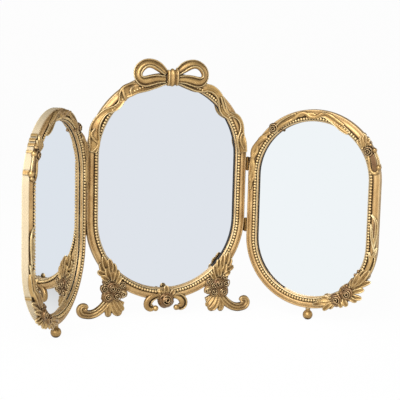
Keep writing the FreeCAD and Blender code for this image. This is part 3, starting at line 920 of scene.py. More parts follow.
@dataclass(frozen=True)
class Rose:
    """Carved rose, modelled one unit in radius and scaled where it is set."""

    rings: tuple[tuple[int, float, float, float, float, float], ...] = (
        # petals, spread of each in degrees, inner reach, outer reach, height of the rim, lean in degrees
        (1, 500.0, 0.14, 0.42, 0.84, -6.0), (2, 215.0, 0.54, 0.66, 0.66, -18.0),
        (4, 118.0, 0.80, 0.97, 0.34, -34.0))
    bud: float = 0.0              # radius of the bud in its middle
    ring_turn: float = 47.0       # degrees from one ring's first petal to the next ring's
    uneven: float = 9.0           # degrees by which the petals stray
    rim_dip: float = 0.12         # how far a petal's ends stand lower than its middle

    def carve(self, x: float, y: float, z: float, radius: float,
              turn: float = 0.0) -> list[Piece]:
        """Carve a rose.

        Args:
            x, y, z: middle of its base.
            radius: its radius.
            turn: degrees that it is turned by.
        Returns:
            Its parts.
        """
        parts = [ball(0, 0, -0.18, 0.80, 0.5)]
        if self.bud:
            parts.append(ball(0, 0, 0.62, self.bud))
        blade = Profile([(-0.09, -0.6), (-0.09, 0.03), (0, 0.13), (0.09, 0.03), (0.09, -0.6)], 1)
        for ring, (petals, spread, near, far, height, lean) in enumerate(self.rings):
            for index in range(petals):
                start = (360.0 * index / petals + self.ring_turn * ring
                         + self.uneven * math.sin(2.3 * index + ring))
                steps = max(5, round(spread / 36))
                path: list[Knot] = []
                for step in range(steps + 1):
                    share = step / steps
                    angle = math.radians(start + spread * share)
                    reach = near + (far - near) * share
                    rim = height - self.rim_dip * (2 * share - 1) ** 2
                    path.append((reach * math.cos(angle), reach * math.sin(angle), rim, 1.0, lean))
                parts.append(blade.sweep(path, steps=3))
        bpy.data.objects.remove(blade.curve)
        place = (Matrix.Translation((x, y, z)) @ Matrix.Rotation(math.radians(turn), 4, "Z")
                 @ Matrix.Scale(radius, 4))
        for part in parts:
            part.data.transform(place)
        return parts


SMALL_ROSE = Rose(((2, 190.0, 0.44, 0.54, 0.72, -8.0), (4, 112.0, 0.80, 0.97, 0.38, -30.0)), 0.24)


LEAF_SECTION = 6.8            # width of the leaf's drawn section
# Share of the way from root to tip, and the breadth there.
LEAF_BREADTHS = ((0.0, 0.5), (0.22, 0.9), (0.5, 1.05), (0.76, 0.95), (0.93, 0.62), (1.0, 0.25))


def leaf(shapes: Profiles, base: Knot, tip: Knot, width: float, sway: float = 0.0,
         lift: float = 1.2) -> Piece:
    """Pointed leaf with a rib.

    Args:
        shapes: the drawn sections.
        base: x, y, z of its root.
        tip: x, y, z of its tip.
        width: its greatest width.
        sway: how far its middle stands aside of the straight way.
        lift: how far its middle stands up.
    Returns:
        The leaf.
    """
    start, end = Vector(base[:3]), Vector(tip[:3])
    aside = Vector((end.y - start.y, start.x - end.x, 0)).normalized() * sway
    scale = width / LEAF_SECTION
    path = []
    for share, breadth in LEAF_BREADTHS:
        bow = 4 * share * (1 - share)
        spot = start.lerp(end, share) + aside * bow + Vector((0, 0, lift * bow))
        path.append((*spot, breadth * scale, 0.0))
    return shapes.leaf.sweep(path, steps=5)


def foliage(shapes: Profiles, specs: Iterable[LeafSpec], breadth: float,
            lifts: tuple[float, float]) -> list[Piece]:
    """Leaves of a spray, standing up by turns.

    Args:
        shapes: the drawn sections.
        specs: root, tip, width and sway of each leaf.
        breadth: factor on the widths.
        lifts: how far the even and the odd leaves stand up.
    Returns:
        The leaves.
    """
    return [leaf(shapes, base, tip, width * breadth, sway, lifts[index % 2])
            for index, (base, tip, width, sway) in enumerate(specs)]


def mirrored(knots: Iterable[Knot], side: int) -> list[Knot]:
    """Knots as they are for side 1, or mirrored in x for side -1."""
    return [(x * side, *rest) for x, *rest in knots]


# ---------------------------------------------------------------- centre panel's carvings

# Edge of the castings' voxels in mm: the finer, the more detail is kept.
FLOWER_GRAIN = 0.34
LEAF_GRAIN = 0.38
SIDE_LEAF_GRAIN = 0.4
WING_GRAIN = 0.42
TAIL_GRAIN = 0.46
FOOT_GRAIN = 0.5


@dataclass
class Carving:
    """Carved pieces that belong together, the sections they are swept from and their finishes."""

    shapes: Profiles
    palette: Palette

    def build(self) -> None:
        """Model the pieces and seat them."""
        raise NotImplementedError

    def seat(self, piece: Piece, name: str, node: str, seat: Seat, aged: bool = False) -> None:
        """Finish a piece on a panel.

        Args:
            piece: bench piece.
            name: its name.
            node: CAD node that it stands for.
            seat: panel that carries it.
            aged: whether its gold is the darker one.
        """
        material, slot = (self.palette.aged, Slot.AGED) if aged else (self.palette.gold, Slot.GOLD)
        finish_piece(piece, name, seat, material, slot, node)

    def seat_pair(self, piece: Piece, name: str, node: str, seat_of: Callable[[Side], Seat],
                  aged: bool = False) -> None:
        """Finish a piece on the right and its mirrored twin on the left.

        Args:
            piece: bench piece.
            name: its name without the side.
            node: CAD node that it stands for, without the side.
            seat_of: what gives the seat of a side.
            aged: whether its gold is the darker one.
        """
        for item, side in ((piece, Side.RIGHT), (twin(piece), Side.LEFT)):
            start = side.name.lower() + "_"
            self.seat(item, start + name, start + node, seat_of(side), aged)


@dataclass
class BowCrest(Carving):
    """Ribbon bow: two loops of hollow strap that open upwards and the knot between them."""

    outer: Path = (
        (-5, 337.5, -1), (-9.5, 343.8, -3), (-17, 349.6, -4), (-26, 351.8, -4), (-33, 351.4, -4),
        (-40, 348.6, -3.5), (-46, 343.4, -3), (-49, 335.6, -2), (-48.4, 327, -0.5), (-44.6, 319.4, 1),
        (-37, 315.6, 1.6), (-28.5, 317, 2), (-19, 320, 2), (-8, 321.5, 2))
    inner: Path = (
        (-7, 330.5, 2.5), (-14, 334.5, 4), (-19.5, 338.4, 5), (-25, 342, 5.4), (-31.5, 342.6, 5.4),
        (-36.8, 339.4, 5.4), (-39.6, 334.6, 5.2), (-40.2, 330.8, 5), (-38.8, 328, 4.6), (-35.5, 328.2, 4),
        (-31.8, 329.6, 3.6), (-24.9, 331.6, 3.2), (-17, 332, 3), (-7, 330, 2.6))
    knot: Path = (
        (2, 338.5, 0.5), (2.2, 337.2, 4.6), (2.2, 328, 6.2), (2, 319.8, 4.6), (2, 318.2, 0.8))
    root: Spot = (1.5, 327, -1.8, 10.5, 0.42)
    foot: Path = ((4, 325, -0.5, 1.1), (20, 324, -1, 1.0), (36, 321.5, -1.4, 0.7))
    mirror_line: float = 1.2
    spread: float = 1.035         # how far the loops are drawn out sideways
    strap_width: float = 12.6

    def loop(self, side: int) -> Piece:
        """One loop of the bow.

        Args:
            side: 1 for the left loop, -1 for the right one.
        Returns:
            The strap of the loop.
        """
        shift = self.mirror_line * (1 - side)
        outer, inner = [[(x * self.spread * side + shift, y, z) for x, y, z in rim]
                        for rim in (self.outer, self.inner)]
        # The rim named last lies on the right of the way along the strap.
        rims = (inner, outer) if side > 0 else (outer, inner)
        return self.shapes.band.sweep(facing(*rims, self.strap_width), steps=6)

    def build(self) -> None:
        """Model the bow on the crest."""
        root = ball(*self.root)
        feet = [self.shapes.block.sweep(mirrored(self.foot, side)) for side in (1, -1)]
        knot = [self.loop(1), self.loop(-1), self.shapes.knot.sweep(self.knot, steps=6)]
        self.seat(cast([*knot, root, *feet], LEAF_GRAIN, 3), "ribbon_bow", "bow_crest", centre_seat())


@dataclass
class RibbonTails(Carving):
    """The bow's two tails: flat ribbons that wave down the shoulders of the frame."""

    tail_width: float = 12.4
    sink: float = 0.9             # how far the resin under a tail lies behind it
    footing: float = 1.12         # how much broader it is
    # Outer and inner rims, the outer one on the side of the frame's edge.
    left_outer: Path = (
        (-7, 328, 0.4), (-22.9, 322, -0.8), (-36.4, 319, -1.2), (-50, 321.2, -0.8), (-59, 320, 0.2),
        (-67.6, 315.3, 2.2), (-70, 304.5, 2.8), (-71.4, 297, 2.4), (-76.3, 291.4, 2.4), (-84, 288, 2.6),
        (-92, 284.8, 2.2), (-101, 276.4, 0.2), (-107.4, 267.8, -0.8), (-110.5, 260.9, -0.8),
        (-111.4, 251.1, 0.0), (-112, 244, 1.0), (-112.3, 236, 2.0), (-112.3, 228, 2.2))
    left_inner: Path = (
        (-7, 319, 1.6), (-20.4, 313.7, 1.8), (-33.1, 309.9, 2.0), (-45.7, 306, 2.4), (-54.4, 302, 2.4),
        (-61, 297.3, 1.6), (-64.5, 293, 0.8), (-67.6, 288.8, 0.8), (-73, 284, 0.8), (-79.4, 281.2, 1.4),
        (-86.5, 279, 2.4), (-92.4, 272.6, 3.2), (-95.6, 265.6, 3.4), (-97, 257.9, 3.2), (-97.6, 251.1, 3.0),
        (-96.6, 244.5, 2.8), (-96.6, 237, 2.2), (-101.6, 228, 2.0))
    left_folds: tuple[Path, ...] = (
        ((-66.5, 314.5, 2.4, 0.5), (-66.2, 307, 3.6, 0.8), (-63.8, 300.5, 3.6, 0.8), (-62, 296.5, 2.0, 0.5)),
        ((-52, 316, 1.6, 0.5), (-56, 311, 3.0, 0.7), (-55, 306, 3.2, 0.7), (-51, 304.2, 2.6, 0.5)),
        ((-104, 259.5, 2.0, 0.5), (-108.4, 252, 2.6, 0.7), (-105, 245, 3.2, 0.8), (-99.6, 240, 3.2, 0.7),
         (-104.4, 231, 3.0, 0.6), (-108.5, 228.4, 2.4, 0.4)))
    right_outer: Path = (
        (12, 328, 0.2), (29.7, 322, -1.0), (42.9, 318.6, -1.2), (53.4, 320.6, -0.6), (66.4, 314.6, -0.4),
        (75.6, 303, 0.4), (79.6, 292.2, 1.8), (82.8, 285, 2.6), (88.4, 279.4, 2.6), (94.4, 277.4, 1.4))
    right_inner: Path = (
        (12, 319.4, 1.6), (29, 312.4, 1.8), (41.9, 309, 2.2), (52.6, 310, 2.8), (61.4, 306.6, 3.4),
        (67.4, 298.4, 3.0), (68.6, 289.6, 1.8), (71.2, 282, 0.6), (77, 276.8, 0.4), (85.5, 272, 0.6))
    right_lower_outer: Path = (
        (84.4, 282.4, 2.2), (94.7, 281.4, 1.6), (102.4, 274.5, 0.4), (106.8, 263.4, -0.4), (108, 253.6, 0.0),
        (110.3, 246.7, 0.6), (111.8, 237.4, 1.8), (112.3, 226, 2.2))
    right_lower_inner: Path = (
        (85.4, 276.4, 1.6), (93, 274.6, 2.4), (98.9, 269.4, 3.0), (101.6, 260.5, 3.0), (98.8, 251.3, 3.2),
        (95.6, 245.5, 3.2), (96.8, 237.5, 2.8), (100.4, 227.2, 2.0))
    right_folds: tuple[Path, ...] = (
        ((104.5, 254, 2.4, 0.6), (101.6, 246, 3.2, 0.8), (103.4, 238.5, 3.2, 0.8), (107.6, 231.4, 2.6, 0.5)),
        ((71.5, 303, 3.0, 0.5), (74.5, 293.5, 3.4, 0.7), (77.6, 285.5, 3.2, 0.7), (84.6, 278.6, 2.8, 0.5)))

    def tail(self, left: Sequence[Knot], right: Sequence[Knot]) -> list[Piece]:
        """A tail and the resin under it.

        Args:
            left: rim on the left of the way down the tail.
            right: rim on the right.
        Returns:
            Both.
        """
        path = facing(left, right, self.tail_width)
        under = [(x, y, z - self.sink, width * self.footing, tilt) for x, y, z, width, tilt in path]
        return [self.shapes.ribbon.sweep(path, steps=6), self.shapes.block.sweep(under, steps=6)]

    def build(self) -> None:
        """Model both tails."""
        left = self.tail(self.left_inner, self.left_outer)
        left += [self.shapes.strand.sweep(fold, steps=6) for fold in self.left_folds]
        self.seat(cast(left, TAIL_GRAIN), "left_ribbon_tail", "left_ribbon", centre_seat())
        right = self.tail(self.right_outer, self.right_inner)
        right += self.tail(self.right_lower_outer, self.right_lower_inner)
        right += [self.shapes.strand.sweep(fold, steps=6) for fold in self.right_folds]
        self.seat(cast(right, TAIL_GRAIN), "right_ribbon_tail", "right_ribbon", centre_seat())


@dataclass
class ScrollFoot(Carving):
    """Fluted scroll and leaf lobes that the centre panel stands on."""

    arm: Path = (
        (78, 33, -1.0, 0.8), (81, 26, -0.6, 0.95), (86, 18.8, -0.4, 1.02), (93, 12.2, -0.3, 1.0),
        (102, 7.4, -0.3, 1.0), (111.0, 7.0, -0.4, 1.04), (118.6, 10.2, -0.6, 1.0), (118.8, 16.6, -1.0, 0.86),
        (113.6, 18.6, -1.0, 0.66), (110.2, 15.4, -0.8, 0.42))
    eye: Spot = (112.8, 14.4, -0.6, 2.6)
    lobes: tuple[Path, ...] = (
        ((79.6, 31, -2.4, 0.3), (80.8, 22, -1.0, 0.55), (81.8, 13.5, -0.2, 0.8), (81.6, 7.6, -0.3, 0.78),
         (81.2, 4.8, -0.9, 0.5)),
        ((78, 31, -2.0, 0.3), (76.8, 22, -0.2, 0.56), (74.2, 13.6, 0.6, 0.76), (70.6, 7.6, 0.2, 0.74),
         (68.4, 5.2, -0.5, 0.5)),
        ((76, 32, -2.0, 0.3), (73, 24, -0.6, 0.56), (69.2, 16.4, 0.0, 0.7), (65.0, 10.8, -0.3, 0.7),
         (62.8, 8.6, -0.9, 0.48)),
        ((74, 33, -2.4, 0.3), (70, 26.4, -1.2, 0.45), (65.6, 20.4, -0.9, 0.5), (61.8, 15.6, -1.2, 0.46),
         (60.6, 14.0, -1.7, 0.3)))
    # Plain resin behind the lobes and under the spray.
    backs: tuple[Path, ...] = (
        ((60, 17, -3, 1.0), (74, 22, -2.6, 1.2), (86, 17, -2.6, 1.2), (92, 12, -3, 0.9)),
        ((64, 44, -3, 1.3), (72, 34, -2.6, 1.6), (79, 24, -2.6, 1.5)))
    tip_depth: float = 0.42
    # Rounded ends: middle and radius.
    tips: tuple[Spot, ...] = (
        (81.2, 6.6, -3.0, 4.8), (67.8, 8.8, -3.0, 6.4), (62.6, 13.0, -3.2, 4.4))

    def build(self) -> None:
        """Model the right foot and its mirrored twin."""
        parts = [self.shapes.fluted.sweep(self.arm, steps=7), ball(*self.eye)]
        parts += [self.shapes.lobe.sweep(lobe, steps=5) for lobe in self.lobes]
        parts += [ball(*tip, self.tip_depth) for tip in self.tips]
        parts += [self.shapes.block.sweep(back) for back in self.backs]
        self.seat_pair(cast(parts, FOOT_GRAIN), "scroll_foot", "foot_scroll", centre_seat)


@dataclass
class FootSpray(Carving):
    """Leaves, a rose and small flowers over a foot."""

    leaves: tuple[LeafSpec, ...] = (
        ((82, 64, 0.4), (89.6, 87.6, 1.0), 7.4, 1.4), ((79, 62, 1.2), (82.4, 84.0, 1.8), 7.0, -0.8),
        ((86, 62, 0.2), (93.8, 78.2, 0.6), 6.2, 0.9), ((76, 57, 0.8), (75.6, 77.4, 1.4), 7.0, -0.8),
        ((85, 59, 0.6), (98.0, 66.2, 0.8), 7.0, -1.2), ((73, 54, 1.0), (69.6, 68.4, 1.2), 6.4, -0.6),
        ((80, 55, 2.0), (85.4, 70.8, 2.6), 6.8, 0.6), ((82, 53, 1.6), (92.6, 60.0, 1.8), 6.4, -0.8),
        ((71, 48, 1.0), (64.4, 57.0, 1.0), 6.0, 0.8), ((66, 36, 0.2), (57.6, 32, 0.6), 6.4, 0.6),
        ((77, 53, 2.2), (77.2, 67.4, 2.6), 6.0, -0.4))
    roses: tuple[Spot, ...] = ((82, 31.2, -0.4, 7.6, 140), (76.4, 43.2, -0.2, 7.8, 20))
    small_roses: tuple[Spot, ...] = (
        (86.6, 42.6, -0.2, 5.8, 80), (84.4, 52.4, -0.4, 5.2, 200), (63, 46, -0.2, 5.4, 10),
        (61.6, 34.2, -0.2, 5.4, 260), (69.6, 31.6, 0.0, 6.0, 50), (68.8, 40.4, 0.2, 5.6, 310))
    mounds: tuple[Spot, ...] = ((74, 44, -1.2, 12, 0.26), (75, 31, -1.4, 9, 0.3),
                                             (80, 60, -0.8, 8, 0.26))
    breadth: float = 1.14
    lifts: tuple[float, float] = (0.7, 2.0)

    def build(self) -> None:
        """Model the right spray and its mirrored twin."""
        greens = foliage(self.shapes, self.leaves, self.breadth, self.lifts)
        greens += [ball(*mound) for mound in self.mounds]
        flowers = [part for spot in self.roses for part in Rose().carve(*spot)]
        flowers += [part for spot in self.small_roses for part in SMALL_ROSE.carve(*spot)]
        leaves, blooms = cast(greens, LEAF_GRAIN, 1), cast(flowers, FLOWER_GRAIN, 1)
        self.seat_pair(leaves, "foot_leaves", "foot_spray", centre_seat)
        self.seat_pair(blooms, "foot_flowers", "foot_spray", centre_seat, aged=True)


@dataclass
class ApronRose(Carving):
    """Rose with leaves and two curls at the bottom of the centre panel."""

    rose: Spot = (0, 23.4, -0.8, 9.8, 60)
    leaves: tuple[LeafSpec, ...] = (
        ((0, 30, 0.2), (-0.6, 43.6, 1.6), 8.0, 0.0), ((-5, 28, 0.2), (-13, 38, 1.0), 6.8, 1.0),
        ((6, 28, 0.2), (12.5, 37, 1.0), 6.8, -1.0))
    curl: Path = ((6, 29.6, -1.0, 0.55), (15, 28.0, -0.4, 0.8), (22.4, 24.4, -0.1, 1.04),
                              (25.6, 16.6, -0.2, 1.08), (22.6, 12.2, -0.6, 0.96), (18.0, 12.0, -0.8, 0.76))
    bead: Spot = (15.0, 11.6, 0.0, 4.1)
    mounds: tuple[Spot, ...] = ((-10, 35, 1.0, 3.2), (0, 26, -1.4, 10, 0.26))

    def build(self) -> None:
        """Model the apron's rose."""
        leaves = [leaf(self.shapes, *spec) for spec in self.leaves]
        leaves += [ball(*mound) for mound in self.mounds]
        for side in (1, -1):
            leaves.append(self.shapes.frond.sweep(mirrored(self.curl, side), steps=6))
            leaves.append(ball(*mirrored([self.bead], side)[0]))
        self.seat(cast(leaves, LEAF_GRAIN, 1), "apron_leaves", "apron_rose", centre_seat())
        flower = cast(Rose().carve(*self.rose), FLOWER_GRAIN, 1)
        self.seat(flower, "apron_flower", "apron_rose", centre_seat(), aged=True)


# ---------------------------------------------------------------- wings' carvings

WING_EDGE = 114.4             # bench x of a wing's hinge side, from which the carvings are measured


def wing_spot(knot: Knot) -> Knot:
    """A knot or spot measured from a wing's hinge side, in bench x."""
    return (knot[0] + WING_EDGE, *knot[1:])


def on_wing(knots: Iterable[Knot]) -> list[Knot]:
    """Knots measured from a wing's hinge side, in bench x."""
    return [wing_spot(knot) for knot in knots]


@dataclass
class HingeSideCarving(Carving):
    """Two narrow ribbons that wind about each other down the hinge side of a wing."""

    straps: tuple[Path, ...] = (
        ((31.6, 249.6, 1.2, 0.42), (23.6, 246.4, 1.5, 0.5), (15.4, 238.6, 1.5, 0.5), (10.4, 229.3, 1.4, 0.48),
         (10.8, 218, 1.4, 0.48), (12.6, 206.7, 1.4, 0.46), (9.4, 198.7, 1.2, 0.42), (7.2, 190.8, 1.2, 0.4),
         (9.4, 184.4, 1.1, 0.4), (8.0, 178.5, 1.0, 0.34)),
        ((35.4, 256.4, 0.9, 0.36), (28.5, 252.4, 1.0, 0.4), (21.6, 248, 0.9, 0.4), (17.2, 240.2, 0.8, 0.4),
         (16.6, 229.8, 1.0, 0.38), (12.6, 222, 1.8, 0.4), (9.0, 213, 1.4, 0.38), (12.0, 203.5, 1.0, 0.38),
         (13.4, 196, 1.0, 0.36), (10.6, 188, 1.6, 0.36), (6.4, 182, 1.2, 0.34)))
    knob: Spot = (8.6, 177.4, 0.2, 2.2)
    breadth: float = 2.9          # factor on the strand's section

    def build(self) -> None:
        """Model them for both wings."""
        parts = [ball(*wing_spot(self.knob))]
        for strap in self.straps:
            knots = [(x, y, z, width * self.breadth) for x, y, z, width in on_wing(strap)]
            parts.append(self.shapes.strand.sweep(knots, steps=5))
        self.seat_pair(cast(parts, WING_GRAIN), "hinge_side_curl", "hinge_side_scroll", wing_seat)


@dataclass
class ArchCarving(Carving):
    """Ribbons along a wing's arch, with a small coiled rose at the hinge side."""

    ribbons: tuple[Path, ...] = (
        ((39, 257, 0.8, 0.45, 0), (48, 266.5, 1.5, 0.66, -14), (57.4, 273.4, 1.7, 0.76, -10),
         (66, 278.8, 1.6, 0.62, 10), (71.5, 282.6, 1.2, 0.42, 16)),
        ((102, 281.4, 1.0, 0.42, 0), (110, 284.0, 1.5, 0.58, 12), (119, 280.2, 1.8, 0.76, 16),
         (129, 273.6, 1.9, 0.8, 4), (138, 266.4, 1.7, 0.74, -12), (145.4, 261.4, 1.2, 0.5, -8)))
    strands: tuple[Path, ...] = (
        ((62, 274, 1.0, 0.9), (70, 278.4, 1.6, 1.1), (77.7, 284.4, 1.5, 1.2), (85, 284.4, 1.3, 1.2),
         (91.4, 280.8, 1.6, 1.2), (99, 280.6, 1.6, 1.2), (106, 284.6, 1.5, 1.2), (112, 285.6, 1.2, 0.9)),
        ((68, 284.4, 0.8, 0.8), (76, 281, 0.9, 0.9), (84.6, 284.0, 1.0, 0.9), (94, 284.6, 0.9, 0.9),
         (103, 281, 0.9, 0.9)),
        ((44.2, 259.8, 1.0, 0.9), (50.8, 267, 2.6, 1.0), (58.6, 271.6, 2.8, 1.0), (66.3, 275.8, 2.2, 0.9)),
        ((112, 285.6, 1.8, 0.8), (119, 284.2, 2.2, 1.0), (128.4, 278.4, 2.2, 1.0), (139, 271.2, 1.6, 0.9)))
    rose: Spot = (39.4, 262.4, -0.2, 6.0, 0)
    knob: Spot = (50.2, 259.8, 0.0, 2.2)
    sink: float = 1.2             # how far the resin under a ribbon lies behind it
    footing: float = 1.1          # how much broader it is

    def build(self) -> None:
        """Model them for both wings."""
        parts = []
        for ribbon in self.ribbons:
            knots = on_wing(ribbon)
            under = [(x, y, z - self.sink, width * self.footing, tilt) for x, y, z, width, tilt in knots]
            parts += [self.shapes.ribbon.sweep(knots, steps=6), self.shapes.block.sweep(under, steps=6)]
        parts += [self.shapes.strand.sweep(on_wing(strand), steps=6) for strand in self.strands]
        self.seat_pair(cast(parts, WING_GRAIN), "arch_ribbons", "arch_ribbon", wing_seat)
        flower = [*SMALL_ROSE.carve(*wing_spot(self.rose)), ball(*wing_spot(self.knob))]
        self.seat_pair(cast(flower, FLOWER_GRAIN, 1), "arch_flower", "arch_ribbon", wing_seat, aged=True)


@dataclass
class ShoulderCarving(Carving):
    """Shell, coiled rosette and scroll on a wing's outer shoulder, and the collars of its side wall."""

    shell: tuple[LeafSpec, ...] = (
        ((164.4, 242.6, 0.4), (158.0, 253.2, 0.8), 6.0, 0.8),
        ((166.4, 243.5, 1.0), (162.6, 258.6, 1.2), 6.2, 0.5),
        ((168.6, 243.6, 1.2), (168.4, 261.4, 1.2), 6.4, -0.4),
        ((171.0, 244.6, 0.8), (174.4, 256.4, 0.8), 5.2, -0.4))
    knobs: tuple[Spot, ...] = (
        (173.0, 250.2, 0.8, 2.4), (176.2, 247.4, 0.8, 2.4), (182.0, 240.6, 0.6, 3.4),
        (188.4, 218.0, 0.0, 3.8), (187.2, 212.2, 0.4, 2.6))
    outer: Path = (
        (181.6, 240.5, 0.8, 0.52), (184.8, 234, 1.2, 0.56), (187.8, 226, 1.2, 0.56), (188.8, 219.5, 0.8, 0.5))
    inner: Path = ((173.2, 233.4, 0.8, 0.8), (175.2, 226.5, 1.4, 0.95), (176.4, 218.1, 1.5, 0.95),
                               (179.0, 212.3, 1.5, 0.95), (183.4, 209.8, 1.3, 0.95), (187.4, 211.9, 1.0, 0.8))
    hollow: Path = (
        (178, 234, 0.5, 0.7), (181.4, 226, 0.7, 0.8), (182.6, 217, 0.6, 0.75), (182.6, 212.6, 0.4, 0.4))
    rosette: Spot = (173.2, 238.2, -0.2, 6.4, 15)
    mound: Spot = (167, 247, -1.4, 8.0, 0.3)
    # First and last angle on the arch, and how proud of the wall.
    collars: tuple[tuple[float, float, float], ...] = (
        (41.8, 44.4, 1.2), (37.6, 40.4, 1.3), (33.6, 36.2, 1.2), (28.4, 30.4, 0.9), (12.2, 15.6, 1.2))

    def build(self) -> None:
        """Model them for both wings."""
        parts = [leaf(self.shapes, wing_spot(base), wing_spot(tip), width, sway)
                 for base, tip, width, sway in self.shell]
        parts += [ball(*wing_spot(knob)) for knob in self.knobs]
        parts += [self.shapes.leaf.sweep(on_wing(self.outer), steps=6),
                  self.shapes.strand.sweep(on_wing(self.inner), steps=6), ball(*wing_spot(self.mound))]
        parts += [collar(*spec) for spec in self.collars]
        self.seat_pair(cast(parts, WING_GRAIN), "shoulder_shell", "shoulder_scroll", wing_seat)
        dark = SMALL_ROSE.carve(*wing_spot(self.rosette))
        dark.append(self.shapes.block.sweep(on_wing(self.hollow), steps=5))
        rosette = cast(dark, FLOWER_GRAIN, 1)
        self.seat_pair(rosette, "shoulder_rosette", "shoulder_scroll", wing_seat, aged=True)


def collar(first: float, last: float, proud: float) -> Piece:
    """Collar across a wing's side wall.

    Args:
        first: angle on the round end where it starts, in degrees.
        last: angle where it ends.
        proud: how far it stands out of the wall.
    Returns:
        The collar.
    """
    section = [(-1.2, -10.6), (proud, -10.6), (proud, -2.6), (proud - 0.7, -1.7), (-1.2, -1.7)]
    knots = [WING.polar(first + (last - first) * step / 3, 0.0) for step in range(4)]
    return sweep_once(section, knots, steps=2)


@dataclass
class SideLeafCarving(Carving):
    """Long curling leaf on a wing's outer side, with a smooth leaf below it."""

    ridges: tuple[Path, ...] = (
        ((181.6, 154.5, 0.4, 0.3), (186.0, 150.0, 1.2, 0.52), (189.2, 143.5, 1.5, 0.62),
         (189.8, 134, 1.5, 0.62), (188.6, 122, 1.4, 0.58), (187.2, 110.6, 0.8, 0.3)),
        ((181.4, 142, 0.4, 0.3), (182.8, 133.3, 1.2, 0.55), (184.0, 122.8, 1.4, 0.58), (186.2, 112, 1.0, 0.4),
         (187.8, 104, 0.6, 0.25)),
        ((191.0, 111, 0.2, 0.3), (189.2, 104, 1.2, 0.55), (186.2, 97.4, 1.2, 0.5)),
        ((181.0, 104, 0.6, 0.3), (182.6, 98, 1.4, 0.6), (183.2, 90, 1.2, 0.6), (181.6, 81, 0.8, 0.4)))
    smooth: Path = (
        (186.6, 100, -0.4, 0.5), (185.6, 92, 0.5, 0.9), (182.4, 82, 0.6, 1.0), (177.6, 73, 0.2, 0.8))
    hollow: Path = (
        (186.4, 146, 0.2, 0.35), (187, 134, 0.6, 0.5), (186.6, 122, 0.6, 0.45), (187, 112, 0.2, 0.3))

    def build(self) -> None:
        """Model it for both wings."""
        parts = [self.shapes.leaf.sweep(on_wing(ridge), steps=6) for ridge in self.ridges]
        parts.append(self.shapes.frond.sweep(on_wing(self.smooth), steps=6))
        self.seat_pair(cast(parts, SIDE_LEAF_GRAIN), "side_leaves", "side_leaf", wing_seat)
        hollow = cast([self.shapes.block.sweep(on_wing(self.hollow), steps=5)], SIDE_LEAF_GRAIN, 1)
        self.seat_pair(hollow, "side_leaf_hollow", "side_leaf", wing_seat, aged=True)


@dataclass
class WingSpray(Carving):
    """Leaves, berries and roses at a wing's lower outer corner."""

    leaves: tuple[LeafSpec, ...] = (
        ((163, 51, 0.8), (185.4, 63.4, 0.4), 6.4, -1.4), ((166, 57, 1.0), (182.4, 79.5, 0.6), 7.0, 0.8),
        ((163, 58, 1.2), (176, 79, 1.0), 6.6, 0.8), ((160, 55, 1.0), (169, 74, 0.8), 6.2, 0.8),
        ((157, 53, 0.8), (161.4, 67, 0.6), 5.8, 0.6), ((160, 46, 0.8), (177, 51.6, 0.4), 6.2, -0.8),
        ((158, 42, 0.8), (174, 39.6, 0.2), 6.4, 0.8), ((156, 40, 0.6), (167.6, 34.6, 0.2), 5.8, 0.6),
        ((149, 37, 0.8), (154, 26.0, 0.4), 6.8, 0.6), ((144, 33, 0.6), (146.6, 23.6, 0.4), 5.6, 0.4),
        ((137, 31, 1.0), (129.5, 19.6, 0.6), 6.2, 0.8), ((134, 29, 1.0), (120.4, 16.8, 0.6), 6.2, 0.8),
        ((132, 31, 1.4), (108.5, 28.6, 0.8), 6.4, -1.0), ((131, 29, 1.0), (104.8, 22.8, 0.4), 6.0, 0.8),
        ((131, 33, 1.0), (117, 34.6, 0.8), 5.6, 0.6))
    roses: tuple[Spot, ...] = ((153.6, 43.6, -0.4, 8.4, 40), (138.8, 33.4, -0.4, 7.8, 160))
    berries: tuple[Spot, ...] = (
        (167.6, 76.4, 0.4, 2.3), (163.6, 70.8, 0.4, 2.5), (159.6, 63.8, 0.4, 2.5), (152.6, 54.6, 0.4, 3.0),
        (146.4, 51.2, 0.2, 2.4), (145.2, 43.2, 0.6, 2.8))
    mounds: tuple[Spot, ...] = ((152, 45, -1.2, 11, 0.26), (138, 34, -1.2, 9, 0.28),
                                             (163, 57, -1.0, 9, 0.26), (126, 27, -1.0, 6, 0.3))
    collar: tuple[float, float, float] = (-28.2, -25.4, 0.9)
    breadth: float = 1.12
    lifts: tuple[float, float] = (0.7, 1.9)

    def build(self) -> None:
        """Model it for both wings."""
        specs = [(wing_spot(base), wing_spot(tip), *rest) for base, tip, *rest in self.leaves]
        leaves = foliage(self.shapes, specs, self.breadth, self.lifts)
        leaves += [ball(*wing_spot(mound)) for mound in self.mounds]
        leaves.append(collar(*self.collar))
        flowers = [part for spot in self.roses for part in Rose().carve(*wing_spot(spot))]
        flowers += [ball(*wing_spot(berry)) for berry in self.berries]
        self.seat_pair(cast(leaves, LEAF_GRAIN, 1), "spray_leaves", "rose_spray", wing_seat)
        self.seat_pair(cast(flowers, FLOWER_GRAIN, 1), "spray_flowers", "rose_spray", wing_seat, aged=True)


# ---------------------------------------------------------------- carried-over nodes


def dress_nodes(palette: Palette) -> None:
    """Give each CAD node its finish, by a word in its name.

    Args:
        palette: the finishes.
    """
    finishes = (("screws", palette.steel), ("clips", palette.steel), ("stud", palette.steel),
                ("board", palette.board), ("ball_foot", palette.turned),
                ("hinge_fixed", palette.brass), ("hinge_wing", palette.brass), ("pin", palette.brass))
    for name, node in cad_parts.items():
        found = [material for word, material in finishes if word in name]
        node.data.materials.clear()
        node.data.materials.append(found[0] if found else palette.gold)


# ---------------------------------------------------------------- studio


